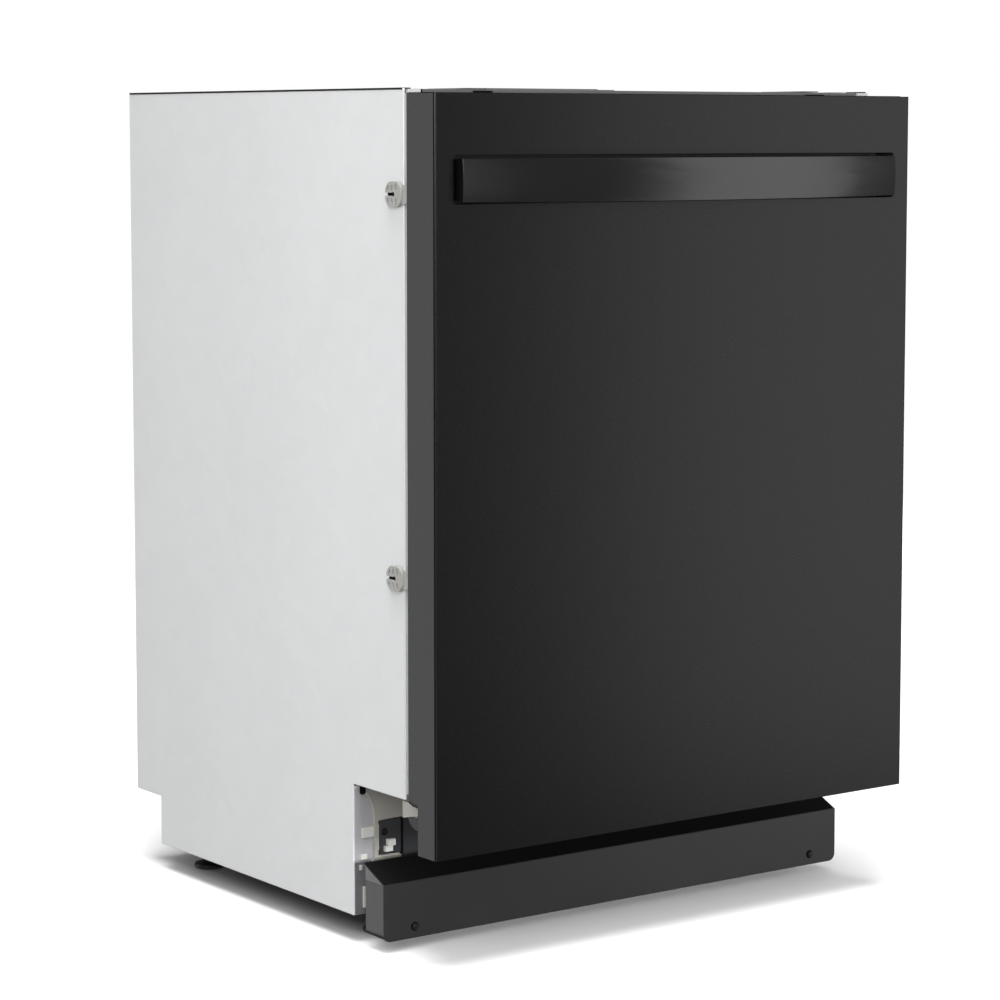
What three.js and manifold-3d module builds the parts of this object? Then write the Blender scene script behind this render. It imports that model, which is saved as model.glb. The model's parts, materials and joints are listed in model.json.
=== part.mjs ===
// A built-in dishwasher, 24 inch class, as separate solids: cabinet, tub, door, racks, spray arms and base.
// Millimetres, +Z up, the door faces -Y. Inside the assembly group x = 0 is the middle,
// y counts back from the door's front face and z counts up from the floor.
import * as THREE from 'three';
import { mergeVertices } from 'three/addons/utils/BufferGeometryUtils.js';
import Module from 'manifold-3d';

const wasm = await Module();
wasm.setup();

// ---------- Driving dimensions ----------
const HANDLE_PROUD = 30; // the handle's middle, in front of the door
const GAP = 0.4; // air between neighbouring pieces
const SHEET = 2; // cabinet sheet

const CABINET = { halfWidth: 298, front: 58.9, rear: 591.8, top: 850.6 };
const NOTCH = { rear: 152.3, top: 162 }; // the side panel's front cut-out, behind the door's foot
const SIDE_FOOT = { bottom: 28, rear: 539.4, step: 81 };
const FRONT_FRAME = { front: 59, rear: 61, bottom: 166, top: 849.8, cornerX: 284, cornerZ: 190 };
const MOUTH = { halfWidth: 276, bottom: 186, top: 818 };
const TUB = { halfWidth: 282, front: 61.5, rear: 576, bottom: 168, top: 844, wall: 2.5, radius: 30 };
const LEDGE = { inner: 246, outer: 264, top: 175.5 };
const SUMP = { x: 40, y: 358, radius: 106, flange: 122, floor: 76 };
const HUB = { x: 0, y: 318 }; // both spray arms turn over this point
const FILTER = { x: 75, y: 395, radius: 30 };
const DRAIN = { x: 120, z: 100, body: 24, outlet: 11 };
const FLOAT = { x: 180, y: 120, bottom: 172, top: 190, radius: 18 };
const BASE_FLOOR = 33.4; // the top of the floor tray, where pumps and valve stand

const DOOR = { halfWidth: 303, bottom: 112.9, top: 845.5, depth: 47, lowerDepth: 31, skin: 1.5, radius: 3 };
const DOOR_STEP = { low: 161.6, high: 164.9, back: 44.7 };
const PIVOT = { y: 45, z: 150, pin: 4, bore: 4.7, drum: 16 };
const POCKET = { halfWidth: 281, bottom: 741, top: 787, depth: 27 };
const HANDLE = { halfWidth: 276, bottom: 743, top: 784, endProud: 8.8, thickness: 10, post: 18 };
const LINER = { halfWidth: 299, front: 47, rear: 49, bottom: 166, top: 842 };
const EMBOSS = { halfWidth: 255, bottom: 205, top: 800, rear: 61 };
const CONSOLE = { halfWidth: 299, front: 2, rear: 46.3, bottom: 728, top: 843.5, wall: 3 };
const BUTTON = { halfWidth: 11, front: 8.5, rear: 18.5, top: 844.6, spacing: 60, count: 5 };
const DISPENSER = { left: -105, right: 105, bottom: 335, top: 465, front: 52, rear: 65 };
const CUP = { left: -95, right: 25, bottom: 347, top: 453, front: 54.5 };
const LID = { hingeX: -99, hingeY: 68, right: 27, bottom: 346, top: 454, front: 65.5, rear: 68.5 };

const RACK_WIRE = 5;
const LOWER_RACK = { halfWidth: 244, front: 92, rear: 552, floor: 210, rim: 320 };
const UPPER_RACK = { halfWidth: 250, front: 82, rear: 552, floor: 528, rim: 628 };
const LOWER_WHEEL = { radius: 16, z: 192, inner: 250, outer: 258, stations: [145, 265, 395, 515] };
const UPPER_WHEEL = { radius: 15.5, z: 575, inner: 259, outer: 263.4, stations: [330, 530] };
const RAIL = {
  inner: 258, outer: 272, webInner: 264, webOuter: 266, bottom: 556, top: 594, front: 75, rear: 560,
};
const LOWER_ARM = { bottom: 186, top: 200, reach: 232 };
const UPPER_ARM = { bottom: 494, top: 508, reach: 225 };

const FEET = { x: 250, front: 176, rear: 515, pad: 18, stem: 5 };
const TRAY = {
  halfWidth: 295.5, front: 155, rear: 538, bottom: 30, top: 58, barX: 262, barY: 190, rearBarY: 500,
};
const KICK = { front: 98, rear: 130, ledgeRear: 134.6, bottom: 11.4, shelf: 69, ledgeTop: 85.2, radius: 8 };

// ---------- Materials: colour, roughness, metalness ----------
const FINISH = {
  galvanised: [0xdadbdc, 0.5, 0.6],
  stainless: [0xb9bbbd, 0.3, 0.9],
  darkSteel: [0x3b3c3e, 0.45, 0.7],
  blackEnamel: [0x1b1b1c, 0.45, 0.2],
  glossBlack: [0x101011, 0.12, 0.3],
  blackPlastic: [0x18181a, 0.5, 0],
  darkPlastic: [0x2f3033, 0.55, 0],
  beigePlastic: [0xa7a398, 0.6, 0],
  whitePlastic: [0xd8d8d2, 0.5, 0],
  greyPlastic: [0x8d9196, 0.5, 0],
  greyNylon: [0xa9adb3, 0.45, 0],
  rubber: [0x2b2c2d, 0.8, 0],
};

// ---------- Solids from three.js geometry ----------
function toSolid(geometry) {
  geometry.deleteAttribute('normal');
  geometry.deleteAttribute('uv');
  const merged = mergeVertices(geometry, 1e-4);
  return new wasm.Manifold(new wasm.Mesh({
    numProp: 3,
    vertProperties: new Float32Array(merged.attributes.position.array),
    triVerts: new Uint32Array(merged.index.array),
  }));
}

function toGeometry(solid) {
  const mesh = solid.getMesh();
  const positions = new Float32Array(mesh.numVert * 3);
  for (let i = 0; i < mesh.numVert; i += 1) {
    for (let k = 0; k < 3; k += 1) positions[3 * i + k] = mesh.vertProperties[mesh.numProp * i + k];
  }
  const geometry = new THREE.BufferGeometry();
  geometry.setAttribute('position', new THREE.BufferAttribute(positions, 3));
  geometry.setIndex(new THREE.BufferAttribute(new Uint32Array(mesh.triVerts), 1));
  geometry.computeVertexNormals();
  return geometry;
}

const join = (solids) => solids.reduce((sum, next) => sum.add(next));
const cut = (solid, tools) => tools.reduce((rest, tool) => rest.subtract(tool), solid);

// A box between two corners.
function block(x0, x1, y0, y1, z0, z1) {
  const box = new THREE.BoxGeometry(Math.abs(x1 - x0), Math.abs(y1 - y0), Math.abs(z1 - z0));
  box.translate((x0 + x1) / 2, (y0 + y1) / 2, (z0 + z1) / 2);
  return toSolid(box);
}

// An outline swept straight along one axis. Its pairs are (y, z) along x, (x, z) along y and (x, y) along z.
function sweep(axis, outline, from, to) {
  const shape = outline instanceof THREE.Shape
    ? outline
    : new THREE.Shape(outline.map((p) => new THREE.Vector2(...p)));
  const body = new THREE.ExtrudeGeometry(shape, { depth: to - from, bevelEnabled: false, curveSegments: 4 });
  if (axis === 'x') {
    body.applyMatrix4(new THREE.Matrix4().set(0, 0, 1, from, 1, 0, 0, 0, 0, 1, 0, 0, 0, 0, 0, 1));
  } else if (axis === 'y') {
    body.rotateX(Math.PI / 2);
    body.translate(0, to, 0);
  } else {
    body.translate(0, 0, from);
  }
  return toSolid(body);
}

// A round bar along one axis; (a, b) is its centre in the other two, in x, y, z order.
function rod(axis, a, b, from, to, radius, sides = 16) {
  const bar = new THREE.CylinderGeometry(radius, radius, to - from, sides);
  const middle = (from + to) / 2;
  if (axis === 'x') bar.rotateZ(-Math.PI / 2).translate(middle, a, b);
  else if (axis === 'y') bar.translate(a, middle, b);
  else bar.rotateX(Math.PI / 2).translate(a, b, middle);
  return toSolid(bar);
}

// A solid turned about a vertical axis from (radius, height) pairs that start and end on the axis.
function turned(profile, x, y, sides = 32) {
  const body = new THREE.LatheGeometry(profile.map((p) => new THREE.Vector2(...p)), sides);
  body.rotateX(Math.PI / 2);
  body.translate(x, y, 0);
  return toSolid(body);
}

// A bent tube through points, its corners rounded; stride is the length of one facet.
function tube(points, radius, bend, sides = 8, stride = 6 * radius) {
  const corners = points.map((p) => new THREE.Vector3(...p));
  const path = new THREE.CurvePath();
  let start = corners[0];
  for (let i = 1; i < corners.length - 1; i += 1) {
    const into = corners[i].clone().sub(corners[i - 1]).normalize();
    const out = corners[i + 1].clone().sub(corners[i]).normalize();
    const before = corners[i].clone().addScaledVector(into, -bend);
    const after = corners[i].clone().addScaledVector(out, bend);
    path.add(new THREE.LineCurve3(start, before));
    path.add(new THREE.QuadraticBezierCurve3(before, corners[i], after));
    start = after;
  }
  path.add(new THREE.LineCurve3(start, corners[corners.length - 1]));
  const section = new THREE.Shape();
  section.absarc(0, 0, radius, 0, 2 * Math.PI, false);
  const steps = Math.max(1, Math.ceil(path.getLength() / stride));
  return toSolid(new THREE.ExtrudeGeometry(section, { steps, extrudePath: path, curveSegments: sides / 2 }));
}

function roundedRectangle(x0, x1, z0, z1, radius) {
  const shape = new THREE.Shape();
  shape.absarc(x0 + radius, z0 + radius, radius, Math.PI, 1.5 * Math.PI, false);
  shape.absarc(x1 - radius, z0 + radius, radius, 1.5 * Math.PI, 2 * Math.PI, false);
  shape.absarc(x1 - radius, z1 - radius, radius, 0, 0.5 * Math.PI, false);
  shape.absarc(x0 + radius, z1 - radius, radius, 0.5 * Math.PI, Math.PI, false);
  return shape;
}

const mirrored = (solid) => solid.mirror([1, 0, 0]);
const bothSides = (solid) => solid.add(mirrored(solid));

// ---------- Cabinet ----------
function sidePanel() {
  const inner = CABINET.halfWidth - SHEET;
  const outline = [
    [CABINET.front, CABINET.top], [CABINET.front, NOTCH.top], [NOTCH.rear, NOTCH.top],
    [NOTCH.rear, SIDE_FOOT.bottom], [SIDE_FOOT.rear, SIDE_FOOT.bottom], [SIDE_FOOT.rear, SIDE_FOOT.step],
    [CABINET.rear, SIDE_FOOT.step], [CABINET.rear, CABINET.top],
  ];
  const flange = { inner: 262, top: 160 };
  const fold = 10;
  return join([
    sweep('x', outline, inner, CABINET.halfWidth),
    block(flange.inner, inner + 1, NOTCH.rear, NOTCH.rear + SHEET, SIDE_FOOT.bottom, flange.top),
    block(inner - fold, inner + 1, 82, CABINET.rear, CABINET.top - SHEET, CABINET.top),
    block(inner - fold, inner + 1, CABINET.rear - SHEET, CABINET.rear, SIDE_FOOT.step, CABINET.top),
  ]);
}

function rearPanel() {
  const half = CABINET.halfWidth - SHEET - 0.5;
  const front = 586;
  const rear = front + SHEET;
  const sheet = block(-half, half, front, rear, SIDE_FOOT.step + 3, CABINET.top - SHEET - 0.6);
  const ribs = [300, 600].map((z) => block(-250, 250, rear - 1, rear + 1.4, z - 8, z + 8));
  const drainHole = rod('y', DRAIN.x, DRAIN.z, front - 6, rear + 7, DRAIN.outlet + 6);
  return cut(join([sheet, ...ribs]), [drainHole]);
}

// The cover sheet over the tub, with a thin raised plate behind the door's top edge.
function topPanel() {
  const sheetTop = 848;
  const plate = { left: -200, step: -63, right: -42, front: 62, rear: 148, top: 851.2 };
  const lower = CABINET.top;
  return join([
    block(-285.5, 285.5, 82, 585.5, sheetTop - SHEET, sheetTop),
    block(plate.left, plate.right, plate.rear - SHEET, plate.rear, sheetTop - 1, lower),
    block(plate.left, plate.step, plate.front, plate.rear, lower - 0.5, plate.top),
    block(plate.step - 0.5, plate.right, plate.front, plate.rear, lower - 0.5, lower),
  ]);
}

// The steel frame round the tub's mouth. Its two lower ears carry the pins that the door turns on.
function frontFrame() {
  const { front, rear, bottom, top } = FRONT_FRAME;
  const half = CABINET.halfWidth - SHEET - 0.5;
  const plate = block(-half, half, front, rear, bottom, top);
  const mouth = block(-MOUTH.halfWidth, MOUTH.halfWidth, 50, 70, MOUTH.bottom, MOUTH.top);
  const corner = block(FRONT_FRAME.cornerX, 300, 50, 70, 160, FRONT_FRAME.cornerZ);
  const wheelWay = block(LEDGE.inner, LEDGE.outer, 50, 70, LEDGE.top - 1.5, MOUTH.bottom + 5);
  const topFold = block(-half, half, front, 81, top - SHEET, top);
  const ear = block(287.5, 290.5, PIVOT.y - 8.5, 60, PIVOT.z - 9, 205);
  const pin = rod('x', PIVOT.y, PIVOT.z, 289, 295.6, PIVOT.pin);
  const openings = [mouth, corner, mirrored(corner), wheelWay, mirrored(wheelWay)];
  return join([cut(plate, openings), topFold, bothSides(ear.add(pin))]);
}

function tubGasket() {
  const bulb = { inner: 277.5, outer: 285.5, front: 49.5, rear: 58.6, top: 828, under: 820 };
  const side = block(bulb.inner, bulb.outer, bulb.front, bulb.rear, FRONT_FRAME.cornerZ, bulb.top);
  const top = block(-bulb.outer, bulb.outer, bulb.front, bulb.rear, bulb.under, bulb.top);
  return join([side, mirrored(side), top]);
}

function tub() {
  const t = TUB.wall;
  const shell = roundedRectangle(-TUB.halfWidth, TUB.halfWidth, TUB.bottom, TUB.top, TUB.radius);
  const hollow = roundedRectangle(
    -TUB.halfWidth + t, TUB.halfWidth - t, TUB.bottom + t, TUB.top - t, TUB.radius - t,
  );
  const ledge = block(LEDGE.inner, LEDGE.outer, 90, 560, TUB.bottom + 1, LEDGE.top);
  const inside = sweep('y', hollow, TUB.front - 5, TUB.rear - t);
  const walls = cut(sweep('y', shell, TUB.front, TUB.rear), [inside]);
  const well = rod('z', SUMP.x, SUMP.y, TUB.bottom - 8, TUB.bottom + 12, SUMP.radius, 32);
  return cut(join([walls, bothSides(ledge)]), [well]);
}

// A cranked strap that screws to the worktop's underside.
function topBracket(x) {
  const half = 10;
  const [front, crank, rear] = [62, 130, 144];
  const [foot, top] = [848.4, 851.2];
  return join([
    block(x - half, x + half, front, crank, top - 1.1, top),
    block(x - half, x + half, crank - SHEET, crank, foot, top),
    block(x - half, x + half, crank - SHEET, rear, foot, foot + 1.2),
  ]);
}

// A moulded clip on the side panel, hooked round the panel's front edge, with a slot for a screw.
function sideClip(z) {
  const chamfer = 6;
  const y0 = 57;
  const y1 = 84;
  const half = 12.3;
  const outline = [
    [y0 + chamfer, z - half], [y1 - chamfer, z - half], [y1, z - half + chamfer], [y1, z + half - chamfer],
    [y1 - chamfer, z + half], [y0 + chamfer, z + half], [y0, z + half - chamfer], [y0, z - half + chamfer],
  ];
  const hook = block(CABINET.halfWidth + GAP, CABINET.halfWidth + 2.4, 49.8, y0 + 2, z - 9, z + 9);
  const keyhole = block(CABINET.halfWidth + 2, 310, 68, 80, z - 2, z + 2);
  return cut(join([sweep('x', outline, CABINET.halfWidth + GAP, DOOR.halfWidth), hook]), [keyhole]);
}

// ---------- Base ----------
// The floor tray under the tub, with corner posts that carry it and tabs that hold the kick panel.
function baseFrame() {
  const { halfWidth, front, rear, bottom, top, barX, barY, rearBarY } = TRAY;
  const well = block(-barX, barX, barY, rearBarY, bottom + 3, top + 1);
  const tray = cut(block(-halfWidth, halfWidth, front, rear, bottom, top), [well]);
  const underTub = TUB.bottom - GAP;
  const posts = [[front, barY], [rearBarY, rear]].map(([y0, y1]) => (
    block(barX, halfWidth, y0, y1, top - 1, underTub)
  ));
  const beams = [[front, front + 14], [rear - 14, rear]].map(([y0, y1]) => (
    block(-barX, barX, y0, y1, underTub - 19.6, underTub)
  ));
  const tab = block(250, 272, KICK.front + 2.6, front + 15, 14, 27.4);
  const tabRiser = block(250, 272, front, front + 15, 14, bottom + 10);
  const stemHoles = [FEET.front, FEET.rear].map((y) => (
    rod('z', FEET.x, y, bottom - 5, bottom + 50, FEET.stem + 1.5)
  ));
  const side = join([...posts, tab, tabRiser]);
  const frame = join([tray, ...beams, side, mirrored(side)]);
  return cut(frame, [...stemHoles, ...stemHoles.map(mirrored)]);
}

function foot(x, y) {
  return join([
    rod('z', x, y, 0, 7, FEET.pad, 24),
    rod('z', x, y, 6, 12, 9, 6),
    rod('z', x, y, 6, TRAY.bottom + 30, FEET.stem, 12),
  ]);
}

function kickPanel() {
  const w = CABINET.halfWidth;
  const t = 1.6;
  const cheek = sweep('x', [
    [KICK.front, KICK.bottom], [KICK.rear, KICK.bottom], [KICK.rear, KICK.ledgeTop - 3],
    [KICK.ledgeRear, KICK.ledgeTop], [KICK.front, KICK.shelf],
  ], w - t, w);
  const ledge = sweep('x', [
    [KICK.front, KICK.shelf], [KICK.front, KICK.shelf - t], [KICK.ledgeRear, KICK.ledgeTop - t],
    [KICK.ledgeRear, KICK.ledgeTop],
  ], -w, w);
  const face = block(-w, w, KICK.front, KICK.front + t, KICK.bottom, KICK.shelf);
  const outline = roundedRectangle(-w, w, KICK.bottom, KICK.bottom + 200, KICK.radius);
  return join([face, ledge, cheek, mirrored(cheek)]).intersect(sweep('y', outline, 90, 140));
}

// The moulded bracket in the side panel's front cut-out, with its long strip and lower ledge.
function baseBracket() {
  const shape = new THREE.Shape();
  shape.moveTo(294, 165.4);
  shape.lineTo(222, 165.4);
  shape.lineTo(222, 126);
  shape.lineTo(243, 121.5);
  shape.lineTo(270, 121.5);
  shape.lineTo(270, 85);
  shape.lineTo(240, 85);
  shape.lineTo(240, 81);
  shape.lineTo(278, 81);
  shape.lineTo(275, 86);
  shape.lineTo(275, 118);
  shape.quadraticCurveTo(276, 142, 294, 157);
  return sweep('y', shape, 148.5, 151.8);
}

// The dark cover beside the left bracket, and the two plugs on its front.
const wiringCover = () => block(-269.4, -222.4, 146, 151.8, 86, 121);
const wiringConnector = () => join([
  block(-262, -251, 138, 145.5, 96, 102),
  block(-266, -254, 138, 145.5, 91, 97),
]);

function sump() {
  const r = SUMP.radius;
  const floor = SUMP.floor;
  return turned([
    [0, floor], [r - 26, floor], [r - 6, floor + 22], [r, 162], [SUMP.flange, 162],
    [SUMP.flange, 167.6], [r - 4, 167.6], [r - 10, floor + 24], [r - 28, floor + 4], [0, floor + 4],
  ], SUMP.x, SUMP.y);
}

function filterPlate() {
  const disc = rod('z', SUMP.x, SUMP.y, 158, 161, SUMP.radius - 10, 32);
  const hole = rod('z', FILTER.x, FILTER.y, 150, 170, FILTER.radius + 1.2, 24);
  const post = rod('z', HUB.x, HUB.y, 159, 190, 9, 12);
  return cut(disc, [hole]).add(post);
}

function filterCup() {
  const r = FILTER.radius;
  const cup = turned([
    [0, 112], [r, 112], [r, 172], [r - 3, 172], [r - 3, 115], [0, 115],
  ], FILTER.x, FILTER.y, 24);
  const grip = block(FILTER.x - r + 1, FILTER.x + r - 1, FILTER.y - 4, FILTER.y + 4, 164, 181);
  return cup.add(grip);
}

// The circulation pump lies beside the sump: motor, pump nose and rubber-mounted saddle.
function washPump() {
  const axisZ = 108;
  const motor = { from: -225, to: -90, radius: 42 };
  const nose = { to: -74, radius: 30 };
  return join([
    rod('x', SUMP.y, axisZ, motor.from, motor.to, motor.radius, 24),
    rod('x', SUMP.y, axisZ, motor.to - 5, nose.to, nose.radius, 24),
    block(motor.from + 15, motor.to - 15, SUMP.y - 20, SUMP.y + 20, BASE_FLOOR, 80),
  ]);
}

// The drain pump's outlet spigot passes through the rear panel.
function drainPump() {
  const { x, z, body, outlet } = DRAIN;
  const [front, shoulder, tip] = [486, 560, 590];
  return join([
    rod('y', x, z, front, shoulder, body, 16),
    rod('y', x, z, shoulder - 5, tip, outlet, 16),
    block(x - 15, x + 15, front, TRAY.rearBarY - 1.5, BASE_FLOOR, z - 15),
  ]);
}

function inletValve() {
  const [x, y] = [-190, 220];
  return join([
    block(x - 25, x + 25, y - 20, y + 20, BASE_FLOOR, 88),
    rod('z', x, y, 86, 118, 13, 12),
    rod('y', x, 66, y + 18, y + 42, 10, 12),
  ]);
}

// The mains terminal box; its gland faces the rear.
const junctionBox = () => join([
  block(165, 240, 196, 262, BASE_FLOOR, 104),
  rod('y', 200, 60, 258, 280, 11, 12),
]);

// ---------- Inside the tub ----------
function heatingElement() {
  const [x, y0, y1, z] = [205, 165, 500, 180];
  return tube([
    [-60, y1 + 18, z - 5], [-60, y1, z], [-x, y1, z], [-x, y0, z],
    [x, y0, z], [x, y1, z], [60, y1, z], [60, y1 + 18, z - 5],
  ], 3.5, 8, 6, 26);
}

// The riser on the rear wall, its dock for the upper rack, and the branch to the ceiling spray head.
function feedTube() {
  return join([
    tube([[0, 565, 171], [0, 565, 832], [0, HUB.y, 832]], 6, 24, 8, 30),
    rod('y', 0, 523, 553.5, 566, 9, 12),
    rod('z', HUB.x, HUB.y, 812, 828, 24, 16),
  ]);
}

// Evenly spaced bars along one side of a basket: count + 1 of them between two ends.
function spread(from, to, count) {
  return Array.from({ length: count + 1 }, (_, i) => from + (i * (to - from - RACK_WIRE)) / count);
}

// A basket of square wire: a floor grid, uprights round the outside and a rim.
function basket({ halfWidth, front, rear, floor, rim }, columns, rows) {
  const w = RACK_WIRE;
  const top = rim + w;
  const across = spread(-halfWidth, halfWidth, columns);
  const along = spread(front, rear, rows);
  const bars = [];
  for (const x of across) {
    bars.push(block(x, x + w, front, rear, floor, floor + w));
    bars.push(block(x, x + w, front, front + w, floor, top));
    bars.push(block(x, x + w, rear - w, rear, floor, top));
  }
  for (const y of along) {
    bars.push(block(-halfWidth, halfWidth, y, y + w, floor, floor + w));
    bars.push(block(-halfWidth, -halfWidth + w, y, y + w, floor, top));
    bars.push(block(halfWidth - w, halfWidth, y, y + w, floor, top));
  }
  const rimOutside = block(-halfWidth, halfWidth, front, rear, rim, top);
  const rimInside = block(-halfWidth + w, halfWidth - w, front + w, rear - w, rim - 1, top + 1);
  return join([...bars, cut(rimOutside, [rimInside])]);
}

function lowerRack() {
  const { radius, z, inner, outer, stations } = LOWER_WHEEL;
  const wheels = stations.map((y) => join([
    rod('x', y, z, inner, outer, radius, 12),
    rod('x', y, z, LOWER_RACK.halfWidth - 3, inner + 1, 4, 8),
    block(LOWER_RACK.halfWidth - 4, LOWER_RACK.halfWidth, y - 6, y + 6, z - 5, LOWER_RACK.floor + 3),
  ]));
  return join([basket(LOWER_RACK, 6, 5), ...wheels, ...wheels.map(mirrored)]);
}

function upperRack() {
  const { radius, z, inner, outer, stations } = UPPER_WHEEL;
  const wheels = stations.map((y) => join([
    rod('x', y, z, inner, outer, radius, 16),
    rod('x', y, z, UPPER_RACK.halfWidth - 3, inner + 1, 4, 8),
    block(UPPER_RACK.halfWidth - 4, UPPER_RACK.halfWidth, y - 8, y + 8, UPPER_RACK.floor, UPPER_RACK.rim),
  ]));
  return join([
    basket(UPPER_RACK, 6, 5),
    ...wheels,
    ...wheels.map(mirrored),
    rod('y', 0, 523, HUB.y - 8, 551.5, 6.5, 8),
    rod('z', HUB.x, HUB.y, 503, 525, 8, 12),
  ]);
}

function rail() {
  return join([
    block(RAIL.webInner, RAIL.webOuter, RAIL.front, RAIL.rear, RAIL.bottom, RAIL.top),
    block(RAIL.inner, RAIL.outer, RAIL.front, RAIL.rear, RAIL.bottom, RAIL.bottom + 2),
    block(RAIL.inner, RAIL.outer, RAIL.front, RAIL.rear, RAIL.top - 2, RAIL.top),
  ]);
}

function railGuide() {
  const rollers = [110, 240].map((y) => rod('x', y, 575, 267, 276, 15.5, 16));
  return join([block(273, 279, 90, 260, 562, 588), ...rollers]);
}

// A spray arm: a blade with two swept halves on a hub with a blind socket, open upwards or downwards.
function sprayArm({ bottom, top, reach }, opensUp) {
  const blade = new THREE.Shape();
  blade.moveTo(24, -20);
  blade.lineTo(reach - 12, -6);
  blade.quadraticCurveTo(reach, -4, reach, 8);
  blade.quadraticCurveTo(reach, 20, reach - 12, 20);
  blade.lineTo(0, 26);
  blade.lineTo(-24, 20);
  blade.lineTo(12 - reach, 6);
  blade.quadraticCurveTo(-reach, 4, -reach, -8);
  blade.quadraticCurveTo(-reach, -20, 12 - reach, -20);
  blade.lineTo(0, -26);
  const hub = opensUp
    ? rod('z', 0, 0, bottom, top + 6, 16, 16)
    : rod('z', 0, 0, bottom - 8, top, 16, 16);
  const socket = opensUp
    ? rod('z', 0, 0, bottom + 6, top + 10, 10.5, 16)
    : rod('z', 0, 0, bottom - 12, top - 6, 10.5, 16);
  return cut(join([sweep('z', blade, bottom, top), hub]), [socket]).translate([HUB.x, HUB.y, 0]);
}

function silverwareBasket() {
  const [x0, x1, y0, y1, z0, z1, wall, cells] = [160, 236, 240, 540, 215.6, 330, 2.5, 3];
  const pitch = (y1 - y0 - wall) / cells;
  const cavities = Array.from({ length: cells }, (_, i) => (
    block(x0 + wall, x1 - wall, y0 + wall + i * pitch, y0 + (i + 1) * pitch, z0 + wall, z1 + 5)
  ));
  return cut(block(x0, x1, y0, y1, z0, z1), cavities);
}

// ---------- Door ----------
function doorOuterPanel() {
  const { halfWidth: w, radius: r, skin: t, depth, bottom, top, lowerDepth } = DOOR;
  const wrap = new THREE.Shape();
  wrap.moveTo(-w, depth);
  wrap.absarc(-w + r, r, r, Math.PI, 1.5 * Math.PI, false);
  wrap.absarc(w - r, r, r, 1.5 * Math.PI, 2 * Math.PI, false);
  wrap.lineTo(w, depth);
  wrap.lineTo(w - t, depth);
  wrap.absarc(w - r, r, r - t, 0, -0.5 * Math.PI, true);
  wrap.absarc(-w + r, r, r - t, -0.5 * Math.PI, -Math.PI, true);
  wrap.lineTo(-w + t, depth);
  const step = sweep('x', [
    [lowerDepth, bottom - 1], [depth + 5, bottom - 1], [depth + 5, DOOR_STEP.high],
    [DOOR_STEP.back, DOOR_STEP.high], [lowerDepth, DOOR_STEP.low],
  ], -w - 1, w + 1);
  const window = block(-POCKET.halfWidth, POCKET.halfWidth, -1, 5, POCKET.bottom, POCKET.top);
  return join([
    cut(sweep('z', wrap, bottom, top), [step, window]),
    block(-w + 0.8, w - 0.8, 0.8, 28, bottom, bottom + t),
    block(-w + 0.8, w - 0.8, 0.8, 4, top - t, top),
  ]);
}

function doorInnerPanel() {
  const { halfWidth: w, front, rear, bottom, top } = LINER;
  const e = EMBOSS;
  const t = rear - front;
  const sheet = block(-w, w, front, rear, bottom, top);
  const raised = block(-e.halfWidth, e.halfWidth, front, e.rear, e.bottom, e.top);
  const behindRaised = block(
    -e.halfWidth + t, e.halfWidth - t, front - 5, e.rear - t, e.bottom + t, e.top - t,
  );
  const half = FRONT_FRAME.cornerX;
  const shelf = block(-half, half, DOOR.lowerDepth - 2, rear, bottom, bottom + t);
  const lower = block(-half, half, DOOR.lowerDepth - 2, DOOR.lowerDepth, DOOR.bottom + 3.1, bottom + t);
  const corner = block(FRONT_FRAME.cornerX, 305, 20, 60, bottom - 5, 207);
  const dispenserHole = block(
    DISPENSER.left - 1, DISPENSER.right + 1, e.rear - 5, e.rear + 5, DISPENSER.bottom - 1, DISPENSER.top + 1,
  );
  const latchHole = block(-19, 19, front - 5, rear + 5, 829, top + 5);
  const pan = cut(join([sheet, raised]), [behindRaised, corner, mirrored(corner), dispenserHole, latchHole]);
  return join([pan, shelf, lower]);
}

function doorHandle() {
  const { halfWidth: w, endProud, thickness, post, bottom, top } = HANDLE;
  const steps = 20;
  const bow = (x) => -(endProud + (HANDLE_PROUD - endProud) * (1 - (x / w) ** 2));
  const inner = w - post;
  const outline = [];
  for (let i = 0; i <= steps; i += 1) {
    const x = -w + (2 * w * i) / steps;
    outline.push([x, bow(x)]);
  }
  outline.push([w, POCKET.depth - 2], [inner, POCKET.depth - 2]);
  for (let i = steps; i >= 0; i -= 1) {
    const x = -inner + (2 * inner * i) / steps;
    outline.push([x, bow(x) + thickness]);
  }
  outline.push([-inner, POCKET.depth - 2], [-w, POCKET.depth - 2]);
  return sweep('z', outline, bottom, top);
}

const buttonX = (i) => (i - (BUTTON.count - 1) / 2) * BUTTON.spacing;

// The control console: a shell behind the door's skin that also forms the handle's pocket.
function controlConsole() {
  const { halfWidth: w, front, rear, bottom, top, wall } = CONSOLE;
  const p = POCKET;
  const shell = cut(block(-w, w, front, rear, bottom, top), [
    block(-w + wall, w - wall, front + wall, rear + 5, bottom + wall, top - wall),
  ]);
  const side = p.halfWidth + wall;
  const tray = block(-side, side, front, p.depth + wall, p.bottom - wall, p.top + wall);
  const pocket = block(-p.halfWidth, p.halfWidth, front - 5, p.depth, p.bottom, p.top);
  const holes = Array.from({ length: BUTTON.count }, (_, i) => block(
    buttonX(i) - BUTTON.halfWidth - 0.5, buttonX(i) + BUTTON.halfWidth + 0.5,
    BUTTON.front - 0.5, BUTTON.rear + 0.5, top - wall - 1, top + 1,
  ));
  return cut(join([shell, tray]), [pocket, ...holes]);
}

function button(i) {
  const x = buttonX(i);
  const { halfWidth: w, front, rear, top } = BUTTON;
  const under = CONSOLE.top - CONSOLE.wall - 1;
  const flange = 2;
  return join([
    block(x - w, x + w, front, rear, under - 4, top),
    block(x - w - flange, x + w + flange, front - 1.5, rear + 1, under - 4, under - 1.5),
  ]);
}

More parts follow.
